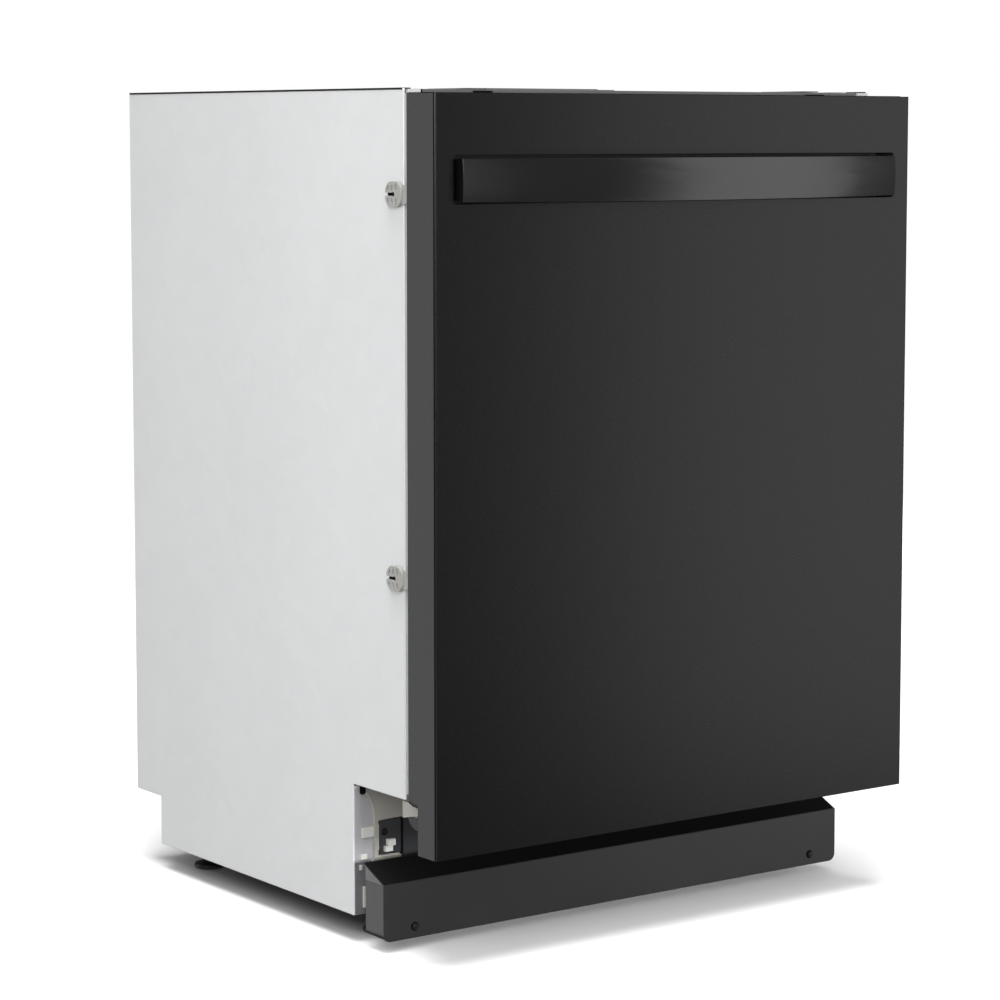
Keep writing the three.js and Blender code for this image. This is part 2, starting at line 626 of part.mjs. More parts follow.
// A pressed arm up the door's edge; its round foot turns on the frame's pin and winds the spring's cord.
function hingeArm() {
  const [inner, outer] = [291.5, 294.5];
  const plate = sweep('x', [
    [5, 380], [5, 230], [20, 215], [31, PIVOT.z], [60, PIVOT.z + 5], [44, 205], [40, 250], [40, 380],
  ], inner, outer);
  const tab = block(inner, DOOR.halfWidth - DOOR.skin - 0.7, 5, 8, 232, 378);
  const drum = rod('x', PIVOT.y, PIVOT.z, inner, outer, PIVOT.drum, 24);
  return cut(join([plate, tab, drum]), [rod('x', PIVOT.y, PIVOT.z, inner - 5, outer + 5, PIVOT.bore)]);
}

// A balance spring between side panel and tub, with the cord that the hinge arm's drum winds up.
function doorSpring() {
  const [x, z] = [292, 173];
  const [coilFront, coilRear, anchor] = [110, 400, 470];
  const cord = 1.2;
  return join([
    tube([[x + 1, TUB.front + 0.5, TUB.bottom], [x, coilFront + 2, z]], cord, 0, 6, 60),
    rod('y', x, z, coilFront, coilRear, 3.4, 8),
    tube([[x, coilRear - 2, z], [x, anchor, z]], cord, 0, 6, 80),
  ]);
}

function dispenserHousing() {
  const d = DISPENSER;
  return cut(block(d.left, d.right, d.front, d.rear, d.bottom, d.top), [
    block(CUP.left, CUP.right, CUP.front, d.rear + 5, CUP.bottom, CUP.top),
  ]);
}

function dispenserLid() {
  return join([
    block(LID.hingeX, LID.right, LID.front, LID.rear, LID.bottom, LID.top),
    rod('z', LID.hingeX, LID.hingeY, LID.bottom, LID.top, 2.4, 12),
  ]);
}

function rinseAidCap() {
  const [x, z, radius, grip] = [66, 400, 17, 13];
  return join([
    rod('y', x, z, DISPENSER.rear + GAP, 72, radius, 24),
    block(x - grip, x + grip, 71, 77, z - 3, z + 3),
  ]);
}

// The latch in the door's top edge takes the strike's tongue in its slot.
function doorLatch() {
  const [bottom, top] = [812, 839];
  const slot = block(-13, 13, 33, 60, 829, top - 0.6);
  return cut(block(-26, 26, 20, 46, bottom, top), [slot]);
}

function latchStrike() {
  const [under, top] = [832, 835.5];
  const eye = block(-5, 5, 42, 50, under - 2, top + 2);
  const tongue = cut(block(-10, 10, 38, 58, under, top), [eye]);
  return tongue.add(block(-17, 17, 56.6, 58.6, under - 2.5, top + 5.5));
}

// ---------- Assembly ----------
const assembly = new THREE.Group();
assembly.position.y = -(CABINET.rear - HANDLE_PROUD) / 2;

function place(name, solid, finish) {
  const [color, roughness, metalness] = FINISH[finish];
  const material = new THREE.MeshStandardMaterial({ color, roughness, metalness });
  const mesh = new THREE.Mesh(toGeometry(solid), material);
  mesh.name = name;
  assembly.add(mesh);
}

// Places a right-hand solid and its mirror image.
function placePair(name, rightSolid, finish) {
  place(`${name}_right`, rightSolid, finish);
  place(`${name}_left`, mirrored(rightSolid), finish);
}

placePair('side_panel', sidePanel(), 'galvanised');
place('rear_panel', rearPanel(), 'galvanised');
place('top_panel', topPanel(), 'galvanised');
place('front_frame', frontFrame(), 'darkSteel');
place('tub', tub(), 'stainless');
place('tub_gasket', tubGasket(), 'rubber');
place('top_bracket_left', topBracket(-211), 'darkSteel');
place('top_bracket_right', topBracket(221), 'darkSteel');
placePair('side_clip_upper', sideClip(749.5), 'greyPlastic');
placePair('side_clip_lower', sideClip(378.7), 'greyPlastic');

place('base_frame', baseFrame(), 'darkPlastic');
place('kick_panel', kickPanel(), 'blackEnamel');
placePair('base_bracket', baseBracket(), 'beigePlastic');
place('wiring_cover', wiringCover(), 'darkPlastic');
place('wiring_connector', wiringConnector(), 'whitePlastic');
for (const [end, y] of [['front', FEET.front], ['rear', FEET.rear]]) {
  placePair(`foot_${end}`, foot(FEET.x, y), 'blackPlastic');
}

place('sump', sump(), 'darkPlastic');
place('filter_plate', filterPlate(), 'stainless');
place('filter_cup', filterCup(), 'greyNylon');
place('wash_pump', washPump(), 'darkPlastic');
place('drain_pump', drainPump(), 'whitePlastic');
place('inlet_valve', inletValve(), 'whitePlastic');
place('junction_box', junctionBox(), 'galvanised');

place('heating_element', heatingElement(), 'darkSteel');
place('feed_tube', feedTube(), 'greyNylon');
place('float', rod('z', FLOAT.x, FLOAT.y, FLOAT.bottom, FLOAT.top, FLOAT.radius, 24), 'greyNylon');
placePair('upper_rail', rail(), 'stainless');
placePair('rail_guide', railGuide(), 'greyNylon');
place('upper_rack', upperRack(), 'greyNylon');
place('upper_spray_arm', sprayArm(UPPER_ARM, true), 'greyNylon');
place('lower_rack', lowerRack(), 'greyNylon');
place('lower_spray_arm', sprayArm(LOWER_ARM, false), 'greyNylon');
place('silverware_basket', silverwareBasket(), 'greyNylon');

place('door_outer_panel', doorOuterPanel(), 'blackEnamel');
place('door_inner_panel', doorInnerPanel(), 'stainless');
place('door_handle', doorHandle(), 'glossBlack');
place('control_console', controlConsole(), 'blackPlastic');
for (let i = 0; i < BUTTON.count; i += 1) place(`button_${i + 1}`, button(i), 'glossBlack');
placePair('hinge_arm', hingeArm(), 'darkSteel');
placePair('door_spring', doorSpring(), 'darkSteel');
place('dispenser_housing', dispenserHousing(), 'greyNylon');
place('dispenser_lid', dispenserLid(), 'greyNylon');
place('rinse_aid_cap', rinseAidCap(), 'blackPlastic');
place('door_latch', doorLatch(), 'blackPlastic');
place('latch_strike', latchStrike(), 'darkSteel');

export default assembly;
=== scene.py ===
import json
from math import cos, pi, radians, sin

import bmesh
import bpy
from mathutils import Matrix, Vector

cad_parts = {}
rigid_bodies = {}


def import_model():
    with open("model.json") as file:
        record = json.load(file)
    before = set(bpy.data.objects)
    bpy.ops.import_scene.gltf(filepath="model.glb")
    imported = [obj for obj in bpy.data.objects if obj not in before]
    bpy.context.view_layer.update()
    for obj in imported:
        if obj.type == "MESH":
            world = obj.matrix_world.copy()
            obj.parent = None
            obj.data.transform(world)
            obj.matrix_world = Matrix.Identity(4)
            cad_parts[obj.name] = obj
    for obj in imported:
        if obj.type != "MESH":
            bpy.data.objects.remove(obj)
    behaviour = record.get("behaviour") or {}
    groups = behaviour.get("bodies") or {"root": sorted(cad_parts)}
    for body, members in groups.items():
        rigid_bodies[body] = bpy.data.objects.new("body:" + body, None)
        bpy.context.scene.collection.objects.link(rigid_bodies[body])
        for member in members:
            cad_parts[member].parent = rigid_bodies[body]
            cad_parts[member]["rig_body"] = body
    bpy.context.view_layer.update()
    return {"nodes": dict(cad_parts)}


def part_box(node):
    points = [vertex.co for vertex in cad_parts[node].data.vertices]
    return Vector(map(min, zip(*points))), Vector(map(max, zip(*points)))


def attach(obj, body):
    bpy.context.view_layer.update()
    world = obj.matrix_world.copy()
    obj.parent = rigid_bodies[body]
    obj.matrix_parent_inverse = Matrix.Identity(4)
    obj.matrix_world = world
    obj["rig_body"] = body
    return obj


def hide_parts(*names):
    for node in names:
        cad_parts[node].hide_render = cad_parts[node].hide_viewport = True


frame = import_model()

# Lengths below are millimetres: x from the middle, y back from the door's front face, z up from the floor.
MM = 0.001
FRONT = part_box("door_outer_panel")[0].y
NODES = frame["nodes"]


def metres(x, y, z):
    return Vector((x * MM, FRONT + y * MM, z * MM))


def added(name, data):
    """A new object in the scene."""
    made = bpy.data.objects.new(name, data)
    bpy.context.scene.collection.objects.link(made)
    return made


# ---------- materials
def node_of(tree, kind, **values):
    node = tree.nodes.new(kind)
    for name, value in values.items():
        node.inputs[name.replace("_", " ")].default_value = value
    return node


def spots(tree, scale, detail=4.0, stretch=(1.0, 1.0, 1.0), roughness=0.55):
    """Noise on the object's own coordinates, with its scale in spots per metre."""
    where = tree.nodes.new("ShaderNodeTexCoord")
    mapping = node_of(tree, "ShaderNodeMapping", Scale=stretch)
    noise = node_of(tree, "ShaderNodeTexNoise", Scale=scale, Detail=detail, Roughness=roughness)
    tree.links.new(where.outputs["Object"], mapping.inputs["Vector"])
    tree.links.new(mapping.outputs["Vector"], noise.inputs["Vector"])
    return noise.outputs["Fac"]


def between(tree, factor, low, high):
    ramp = node_of(tree, "ShaderNodeMapRange", From_Min=0.3, From_Max=0.7, To_Min=low, To_Max=high)
    tree.links.new(factor, ramp.inputs["Value"])
    return ramp.outputs["Result"]


def finish_of(name, colour, roughness, metallic=0.0, vary=0.06, cloud=9.0, grain=900.0,
              stretch=(1.0, 1.0, 1.0), bump=0.05, depth=0.0002, specular=0.5):
    """A surface whose colour drifts in clouds and whose roughness and relief follow a fine grain."""
    made = bpy.data.materials.new(name)
    made.use_nodes = True
    tree = made.node_tree
    shader = tree.nodes["Principled BSDF"]
    shader.inputs["Metallic"].default_value = metallic
    shader.inputs["Specular IOR Level"].default_value = specular
    clouds = spots(tree, cloud, 5.0)
    dark = [max(0.0, c * (1 - vary)) for c in colour]
    light = [min(1.0, c * (1 + vary)) for c in colour]
    mix = tree.nodes.new("ShaderNodeMix")
    mix.data_type = "RGBA"
    tree.links.new(between(tree, clouds, 0.0, 1.0), mix.inputs["Factor"])
    mix.inputs["A"].default_value = (*dark, 1)
    mix.inputs["B"].default_value = (*light, 1)
    tree.links.new(mix.outputs["Result"], shader.inputs["Base Color"])
    fine = spots(tree, grain, 3.0, stretch)
    spread = 0.12 * roughness
    tree.links.new(between(tree, fine, roughness - spread, roughness + spread), shader.inputs["Roughness"])
    relief = node_of(tree, "ShaderNodeBump", Strength=bump, Distance=depth)
    tree.links.new(fine, relief.inputs["Height"])
    tree.links.new(relief.outputs["Normal"], shader.inputs["Normal"])
    made.diffuse_color = (*colour, 1)
    return made


def galvanised():
    """Zinc-coated sheet: pale, with a faint spangle of flat crystals under a cloudy drift."""
    made = finish_of("galvanised_sheet", (0.80, 0.81, 0.815), 0.46, 0.25, vary=0.014, cloud=7.0,
                     grain=500.0, bump=0.03)
    tree = made.node_tree
    shader = tree.nodes["Principled BSDF"]
    where = tree.nodes.new("ShaderNodeTexCoord")
    crystals = node_of(tree, "ShaderNodeTexVoronoi", Scale=55.0, Randomness=1.0)
    tree.links.new(where.outputs["Object"], crystals.inputs["Vector"])
    grey = tree.nodes.new("ShaderNodeRGBToBW")
    tree.links.new(crystals.outputs["Color"], grey.inputs["Color"])
    shade = node_of(tree, "ShaderNodeMapRange", To_Min=0.984, To_Max=1.01)
    tree.links.new(grey.outputs["Val"], shade.inputs["Value"])
    old = shader.inputs["Base Color"].links[0].from_socket
    scaled = tree.nodes.new("ShaderNodeVectorMath")
    scaled.operation = "SCALE"
    tree.links.new(old, scaled.inputs[0])
    tree.links.new(shade.outputs["Result"], scaled.inputs["Scale"])
    tree.links.new(scaled.outputs["Vector"], shader.inputs["Base Color"])
    return made


BRUSHED_ACROSS = (0.02, 1.0, 1.0)
FINISHES = {
    "galvanised_steel": galvanised(),
    "stainless_steel": finish_of(
        "satin_stainless", (0.74, 0.75, 0.76), 0.36, 0.8, vary=0.05, cloud=5.0, grain=1400.0,
        stretch=BRUSHED_ACROSS, bump=0.08, depth=0.0001),
    "dark_steel": finish_of("dark_coated_steel", (0.16, 0.16, 0.165), 0.42, 0.4, grain=700.0, bump=0.08),
    "black_panel": finish_of(
        "matt_black_enamel", (0.0018, 0.0018, 0.0019), 0.27, vary=0.10, cloud=12.0, grain=1300.0,
        bump=0.035, depth=0.00008),
    "black_kick": finish_of(
        "satin_black_paint", (0.013, 0.013, 0.0134), 0.36, vary=0.10, cloud=14.0, grain=1100.0,
        depth=0.0001, specular=0.9),
    "gloss_black": finish_of(
        "polished_black", (0.004, 0.004, 0.0044), 0.19, vary=0.1, cloud=20.0, grain=600.0, bump=0.012,
        depth=0.00005, specular=1.0),
    "black_plastic": finish_of("black_moulding", (0.02, 0.02, 0.022), 0.5, grain=1800.0, bump=0.12),
    "dark_plastic": finish_of("dark_grey_moulding", (0.035, 0.036, 0.039), 0.5, grain=1500.0, bump=0.12),
    "beige_plastic": finish_of(
        "beige_grey_moulding", (0.40, 0.385, 0.35), 0.52, vary=0.05, grain=1500.0, bump=0.08),
    "white_plastic": finish_of(
        "off_white_moulding", (0.66, 0.66, 0.62), 0.45, vary=0.03, grain=1300.0, bump=0.06),
    "grey_plastic": finish_of(
        "light_grey_moulding", (0.375, 0.37, 0.35), 0.48, vary=0.04, grain=1500.0, bump=0.08),
    "grey_moulding": finish_of("grey_polypropylene", (0.27, 0.29, 0.32), 0.4, vary=0.05, grain=1200.0),
    "coated_wire": finish_of(
        "grey_nylon_coat", (0.36, 0.38, 0.41), 0.36, vary=0.04, grain=500.0, bump=0.06, depth=0.0003),
    "rubber": finish_of("door_seal_rubber", (0.03, 0.03, 0.032), 0.62, vary=0.12, grain=1500.0, bump=0.1),
    "element_steel": finish_of(
        "heat_darkened_sheath", (0.16, 0.15, 0.14), 0.38, 0.8, vary=0.2, cloud=25.0, bump=0.08),
    "spring_steel": finish_of("oiled_spring_wire", (0.30, 0.30, 0.31), 0.3, 0.9),
}
# Painted shade: a near-black matt finish laid in holes, slots, gaps, notches, dimples and on the kick's
# ledge, where only shade falls.
RECESS_SHADE_PAINT = finish_of("painted_recess_shade", (0.004, 0.004, 0.004), 0.8, specular=0.1)
SCREW_ZINC = finish_of("zinc_screw", (0.55, 0.55, 0.54), 0.32, 0.9, bump=0.06)
SCREW_BLACK = finish_of("blackened_screw", (0.012, 0.012, 0.012), 0.3, 0.2, bump=0.06)
# Painted light: lighter copies of the kick's black paint for its end cheeks and top gussets, where light
# falls on them.
KICK_END_LIT_PAINT = finish_of("kick_end_painted_light", (0.088, 0.088, 0.089), 0.45, 0.1, bump=0.06)
KICK_GUSSET_LIT_PAINT = finish_of("kick_gusset_painted_light", (0.17, 0.17, 0.165), 0.45, 0.2, bump=0.06)
# Painted shade: darker copies of the galvanised sheet for faces turned from the light, darkest on the flange
# foot under the kick's ledge.
ZINC_SHADE_PAINT = finish_of("zinc_painted_shade", (0.50, 0.50, 0.52), 0.5, 0.3, vary=0.04, grain=700.0)
ZINC_DEEP_SHADE_PAINT = finish_of("zinc_painted_deep_shade", (0.26, 0.26, 0.27), 0.5, 0.3, vary=0.08, grain=700.0)
PALE_CAP = finish_of("pale_corner_cap", (0.55, 0.55, 0.54), 0.45, grain=1300.0, bump=0.06)
# Painted shade: a black strip for the shadow along each side panel's top fold.
EDGE_SHADE_PAINT = finish_of(
    "top_edge_painted_shade", (0.02, 0.02, 0.02), 0.85, vary=0.3, cloud=30.0, grain=300.0, bump=0.5, depth=0.001,
    specular=0.2)


# ---------- shapes
def corner_arc(centre, radius, start, end, steps):
    """Points on an arc, angles in degrees."""
    angles = [radians(start + (end - start) * i / steps) for i in range(steps + 1)]
    return [(centre[0] + radius * cos(a), centre[1] + radius * sin(a)) for a in angles]


def rounded(u0, u1, v0, v1, radius, steps=6):
    """A rectangle with round corners, anticlockwise."""
    return (corner_arc((u1 - radius, v0 + radius), radius, -90, 0, steps)
            + corner_arc((u1 - radius, v1 - radius), radius, 0, 90, steps)
            + corner_arc((u0 + radius, v1 - radius), radius, 90, 180, steps)
            + corner_arc((u0 + radius, v0 + radius), radius, 180, 270, steps))


def fillet(points, bend, steps=5):
    """A polyline whose inner corners are rounded by quadratic curves."""
    points = [Vector(p) for p in points]
    path = [points[0]]
    for before, corner, after in zip(points, points[1:], points[2:]):
        reach_in = min(bend, (corner - before).length * 0.49)
        reach_out = min(bend, (after - corner).length * 0.49)
        a = corner + (before - corner).normalized() * reach_in
        b = corner + (after - corner).normalized() * reach_out
        for i in range(steps + 1):
            t = i / steps
            path.append(a * (1 - t) ** 2 + corner * 2 * t * (1 - t) + b * t * t)
    path.append(points[-1])
    return path


class Shape:
    """Closed bodies in millimetres that become one named piece."""

    def __init__(self):
        self.bm = bmesh.new()

    def _grown(self, edge, segments):
        """Rounds the sharp edges of the geometry added last."""
        if edge > 0:
            fresh = [e for e in self.bm.edges if not e.tag and len(e.link_faces) == 2
                     and e.calc_face_angle(0) > radians(25)]
            bmesh.ops.bevel(self.bm, geom=fresh, offset=edge, segments=segments, profile=0.5,
                            affect="EDGES", clamp_overlap=True)
        for e in self.bm.edges:
            e.tag = True
        return self

    def block(self, x0, x1, y0, y1, z0, z1, edge=0.0, segments=2):
        corners = [self.bm.verts.new((x, y, z)) for x in (x0, x1) for y in (y0, y1) for z in (z0, z1)]
        sides = ((0, 1, 3, 2), (4, 6, 7, 5), (0, 4, 5, 1), (2, 3, 7, 6), (0, 2, 6, 4), (1, 5, 7, 3))
        for side in sides:
            self.bm.faces.new([corners[i] for i in side])
        return self._grown(edge, segments)

    def rings(self, loops, closed=False):
        """Skins loops of equal length in order; the ends are capped unless the last joins the first."""
        rows = [[self.bm.verts.new(p) for p in loop] for loop in loops]
        count = len(rows[0])
        pairs = list(zip(rows, rows[1:])) + ([(rows[-1], rows[0])] if closed else [])
        for low, high in pairs:
            for i in range(count):
                j = (i + 1) % count
                self.bm.faces.new((low[i], low[j], high[j], high[i]))
        if not closed:
            self.bm.faces.new(rows[0][::-1])
            self.bm.faces.new(rows[-1])
        return self

    def sweep(self, axis, outline, start, end, edge=0.0, segments=2):
        """An outline pushed along an axis: (y, z) along x, (x, z) along y, (x, y) along z."""
        def at(p, s):
            return {"x": (s, p[0], p[1]), "y": (p[0], s, p[1]), "z": (p[0], p[1], s)}[axis]
        self.rings([[at(p, start) for p in outline], [at(p, end) for p in outline]])
        return self._grown(edge, segments)

    def turned(self, axis, centre, profile, sides=48):
        """A solid of (radius, height) pairs turned round an axis; the first and last lie on it."""
        a, b = centre
        place = {"x": lambda u, v, h: (h, a + u, b + v), "y": lambda u, v, h: (a + u, h, b + v),
                 "z": lambda u, v, h: (a + u, b + v, h)}[axis]
        inner = profile[1:-1]
        tips = [self.bm.verts.new(place(0, 0, profile[0][1])), self.bm.verts.new(place(0, 0, profile[-1][1]))]
        turns = [2 * pi * i / sides for i in range(sides)]
        rows = [[self.bm.verts.new(place(r * cos(t), r * sin(t), h)) for t in turns]
                for r, h in inner]
        for i in range(sides):
            j = (i + 1) % sides
            self.bm.faces.new((tips[0], rows[0][j], rows[0][i]))
            self.bm.faces.new((tips[1], rows[-1][i], rows[-1][j]))
            for low, high in zip(rows, rows[1:]):
                self.bm.faces.new((low[i], low[j], high[j], high[i]))
        return self._grown(0, 1)

    def rod(self, axis, centre, start, end, radius, sides=24, edge=0.0):
        e = min(edge, radius * 0.9)
        low, high = (start, end) if start < end else (end, start)
        if e > 0:
            turns = [pi / 2 * i / 3 for i in range(4)]
            rim = [(radius - e + e * sin(t), e - e * cos(t)) for t in turns]
            lower = [(r, low + h) for r, h in rim]
            upper = [(r, high - h) for r, h in rim[::-1]]
            profile = [(0, low)] + lower + upper + [(0, high)]
        else:
            profile = [(0, low), (radius, low), (radius, high), (0, high)]
        return self.turned(axis, centre, profile, sides)

    def hoop(self, outline, z, radius, sides=8):
        """A level closed ring of wire through (x, y) points."""
        path = [Vector((x, y, z)) for x, y in outline]
        loops = []
        for i, point in enumerate(path):
            along = (path[(i + 1) % len(path)] - path[i - 1]).normalized()
            side = along.cross(Vector((0, 0, 1))) * radius
            up = Vector((0, 0, radius))
            turns = [2 * pi * k / sides for k in range(sides)]
            loops.append([point + side * cos(t) + up * sin(t) for t in turns])
        return self.rings(loops, closed=True)._grown(0, 1)

    def tube(self, points, radius, bend=0.0, sides=10, steps=5, section=None):
        """A bar of round or given section along a bent path. A section lists (sideways, up) pairs."""
        path = fillet(points, bend, steps) if bend else [Vector(p) for p in points]
        trim = [path[0]]
        for p in path[1:]:
            if (p - trim[-1]).length > 1e-4:
                trim.append(p)
        path = trim
        turns = [2 * pi * i / sides for i in range(sides)]
        outline = section or [(radius * cos(t), radius * sin(t)) for t in turns]
        last = len(path) - 1
        tangents = [(path[min(i + 1, last)] - path[max(i - 1, 0)]).normalized() for i in range(last + 1)]
        normal = tangents[0].orthogonal().normalized()
        if section:
            normal = Vector((0, 1, 0)) if abs(tangents[0].y) < 0.9 else Vector((0, 0, 1))
        loops = []
        for point, along in zip(path, tangents):
            normal = (normal - along * normal.dot(along)).normalized()
            side = along.cross(normal)
            loops.append([point + side * u + normal * v for u, v in outline])
        return self.rings(loops)._grown(0, 1)

    def mirrored(self):
        """Adds the mirror image in x of everything so far."""
        made = bmesh.ops.duplicate(self.bm, geom=self.bm.verts[:] + self.bm.edges[:] + self.bm.faces[:])
        fresh = [g for g in made["geom"] if isinstance(g, bmesh.types.BMVert)]
        for v in fresh:
            v.co.x = -v.co.x
        bmesh.ops.reverse_faces(self.bm, faces=[g for g in made["geom"] if isinstance(g, bmesh.types.BMFace)])
        return self._grown(0, 1)

    def flipped(self, wanted):
        """Turns the whole shape into its mirror image in x where that is wanted."""
        if wanted:
            for v in self.bm.verts:
                v.co.x = -v.co.x
            bmesh.ops.reverse_faces(self.bm, faces=self.bm.faces[:])
        return self

    def object(self, name):
        bmesh.ops.recalc_face_normals(self.bm, faces=self.bm.faces[:])
        for v in self.bm.verts:
            v.co = metres(*v.co)
        mesh = bpy.data.meshes.new(name)
        self.bm.to_mesh(mesh)
        self.bm.free()
        return added(name, mesh)

    def piece(self, name, *fixing, **look):
        """Ends the shape as a named piece; what follows the name is as in dressed."""
        dressed(self.object(name), *fixing, **look)


def settle(made):
    """Replaces the object's mesh by what its modifiers make of it."""
    bpy.context.view_layer.update()
    graph = bpy.context.evaluated_depsgraph_get()
    mesh = bpy.data.meshes.new_from_object(made.evaluated_get(graph))
    made.modifiers.clear()
    made.data = mesh


def dressed(made, body, slot, replaces=(), cuts=None, edge=0.0, segments=2, smooth=35, material=None):
    """Cuts, rounds and shades a new piece, then fixes it to its body."""
    if cuts is not None:
        tool = cuts.object(made.name + ".cut")
        carve = made.modifiers.new("carve", "BOOLEAN")
        carve.operation = "DIFFERENCE"
        carve.solver = "EXACT"
        carve.use_self = True
        carve.object = tool
        settle(made)
        bpy.data.objects.remove(tool)
    if edge > 0:
        tidy = bmesh.new()
        tidy.from_mesh(made.data)
        bmesh.ops.remove_doubles(tidy, verts=tidy.verts[:], dist=1e-6)
        bmesh.ops.dissolve_limit(tidy, angle_limit=radians(1), verts=tidy.verts[:], edges=tidy.edges[:])
        tidy.to_mesh(made.data)
        tidy.free()
        round_off = made.modifiers.new("round", "BEVEL")
        round_off.width = edge * MM
        round_off.segments = segments
        round_off.limit_method = "ANGLE"
        round_off.angle_limit = radians(34)
        round_off.use_clamp_overlap = True
        settle(made)
    made.data.materials.clear()
    made.data.materials.append(material or FINISHES[slot])
    made.data.shade_smooth()
    made.data.set_sharp_from_angle(angle=radians(smooth))
    flatten = made.modifiers.new("flatten", "WEIGHTED_NORMAL")
    flatten.weight = 90
    flatten.keep_sharp = True
    settle(made)
    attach(made, body)
    if replaces:
        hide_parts(*replaces)
    return made


def refined(node, slot, edge=0.5, segments=2):
    """A new piece with a CAD node's shape, its edges rounded as a press or mould leaves them."""
    source = NODES[node]
    made = added(node + "_formed", source.data.copy())
    for other in ("sharp_face", "custom_normal"):
        if other in made.data.attributes:
            made.data.attributes.remove(made.data.attributes[other])
    return dressed(made, source["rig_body"], slot, (node,), None, edge, segments, smooth=40)


# ---------- camera, lights and floor
def set_camera():
    data = bpy.data.cameras.new("camera")
    data.sensor_width = 36
    data.lens = 110.471
    data.shift_y = -0.06
    camera = added("camera", data)
    camera.location = metres(-1944.0, -2371.5, 810.1)
    yaw, pitch = radians(35.899), radians(5.757)
    camera.rotation_euler = (pi / 2 - pitch, 0, -yaw)
    bpy.context.scene.camera = camera


def soft_light(name, centre, target, width, height, power, feeds="both"):
    """A rectangular lamp in metres and watts that feeds diffuse light, gloss, or both."""
    data = bpy.data.lights.new(name, "AREA")
    data.shape = "RECTANGLE"
    data.size = width
    data.size_y = height
    data.energy = power
    light = added(name, data)
    light.location = centre
    light.rotation_euler = (Vector(target) - Vector(centre)).to_track_quat("-Z", "Y").to_euler()
    light.visible_camera = False
    light.visible_glossy = feeds != "diffuse"
    light.visible_diffuse = feeds != "gloss"


def split_rays(tree, seen, unseen):
    """Shows one shader to the camera and another to every other ray."""
    path = tree.nodes.new("ShaderNodeLightPath")
    mix = tree.nodes.new("ShaderNodeMixShader")
    tree.links.new(path.outputs["Is Camera Ray"], mix.inputs["Fac"])
    tree.links.new(unseen.outputs[0], mix.inputs[1])
    tree.links.new(seen.outputs[0], mix.inputs[2])
    return mix.outputs["Shader"]


def set_floor():
    """A wide pale floor that looks white and bounces only a little light back up."""
    bm = bmesh.new()
    bmesh.ops.create_grid(bm, x_segments=8, y_segments=8, size=60)
    mesh = bpy.data.meshes.new("floor")
    bm.to_mesh(mesh)
    bm.free()
    floor = added("floor", mesh)
    surface = finish_of("pale_floor", (0.92, 0.92, 0.92), 0.9, vary=0.004, cloud=0.5, grain=40.0,
                        bump=0.0, specular=0.0)
    floor.data.materials.append(surface)
    floor.visible_glossy = False
    floor.visible_shadow = False
    tree = surface.node_tree
    bounce = node_of(tree, "ShaderNodeBsdfDiffuse", Color=(0.36, 0.36, 0.36, 1))
    shown = split_rays(tree, tree.nodes["Principled BSDF"], bounce)
    tree.links.new(shown, tree.nodes["Material Output"].inputs["Surface"])


def set_world():
    """A white backdrop for the camera and a faint fill for everything else."""
    world = bpy.data.worlds.new("studio")
    bpy.context.scene.world = world
    world.use_nodes = True
    tree = world.node_tree
    tree.nodes.clear()
    out = tree.nodes.new("ShaderNodeOutputWorld")
    seen = node_of(tree, "ShaderNodeBackground", Color=(1, 1, 1, 1), Strength=1.0)
    fill = node_of(tree, "ShaderNodeBackground", Color=(1, 1, 1, 1), Strength=0.08)
    tree.links.new(split_rays(tree, seen, fill), out.inputs["Surface"])


def set_lights():
    sky = bpy.data.lights.new("overhead", "SUN")
    sky.energy = 3.35
    sky.angle = radians(28)
    overhead = added("overhead", sky)
    overhead.rotation_euler = Vector((0.12, 0.12, -1.0)).to_track_quat("-Z", "Y").to_euler()
    soft_light("left_bank", (-1.6, -1.35, 1.5), (-0.3, -0.15, 0.6), 1.5, 1.5, 33)
    # Under the door's overhang.
    soft_light("front_low", (0.1, -3.2, 0.6), (0.0, -0.1, 0.0), 1.6, 0.8, 115, "diffuse")
    # Sheens: on the side panel's flange, then on the black door from two sides.
    soft_light("flange_card", (-2.9, 3.2, 0.2), (-0.3, -0.2, 0.2), 2.4, 4.6, 38, "gloss")
    soft_light("lower_left_card", (-2.2, -2.5, -1.0), (0.0, -0.28, 0.45), 3.0, 2.6, 12, "gloss")
    soft_light("front_card", (0.0, -3.4, 0.8), (0.0, -0.28, 0.5), 1.4, 1.4, 5, "gloss")
    # The far side and the handle's upper edge.
    soft_light("rear_right_fill", (2.6, 1.6, 1.4), (0.1, 0.1, 0.45), 2.4, 2.4, 30, "diffuse")
    soft_light("right_strip", (1.78, -1.95, 1.45), (0.15, -0.30, 1.2), 1.0, 3.9, 13.2)
    bpy.context.scene.view_settings.view_transform = "Standard"
    bpy.context.scene.view_settings.look = "None"


set_camera()
set_floor()
set_world()
set_lights()


# ---------- door
DOOR = {"half": 303.0, "bottom": 112.9, "top": 845.5, "depth": 47.0, "lower_depth": 31.0, "radius": 3.0}
POCKET = {"half": 281.0, "bottom": 741.0, "top": 787.0, "depth": 27.0}
HANDLE = {"half": 276.0, "bottom": 743.0, "top": 784.0, "middle": 30.0, "end": 8.8, "crown": 1.2}


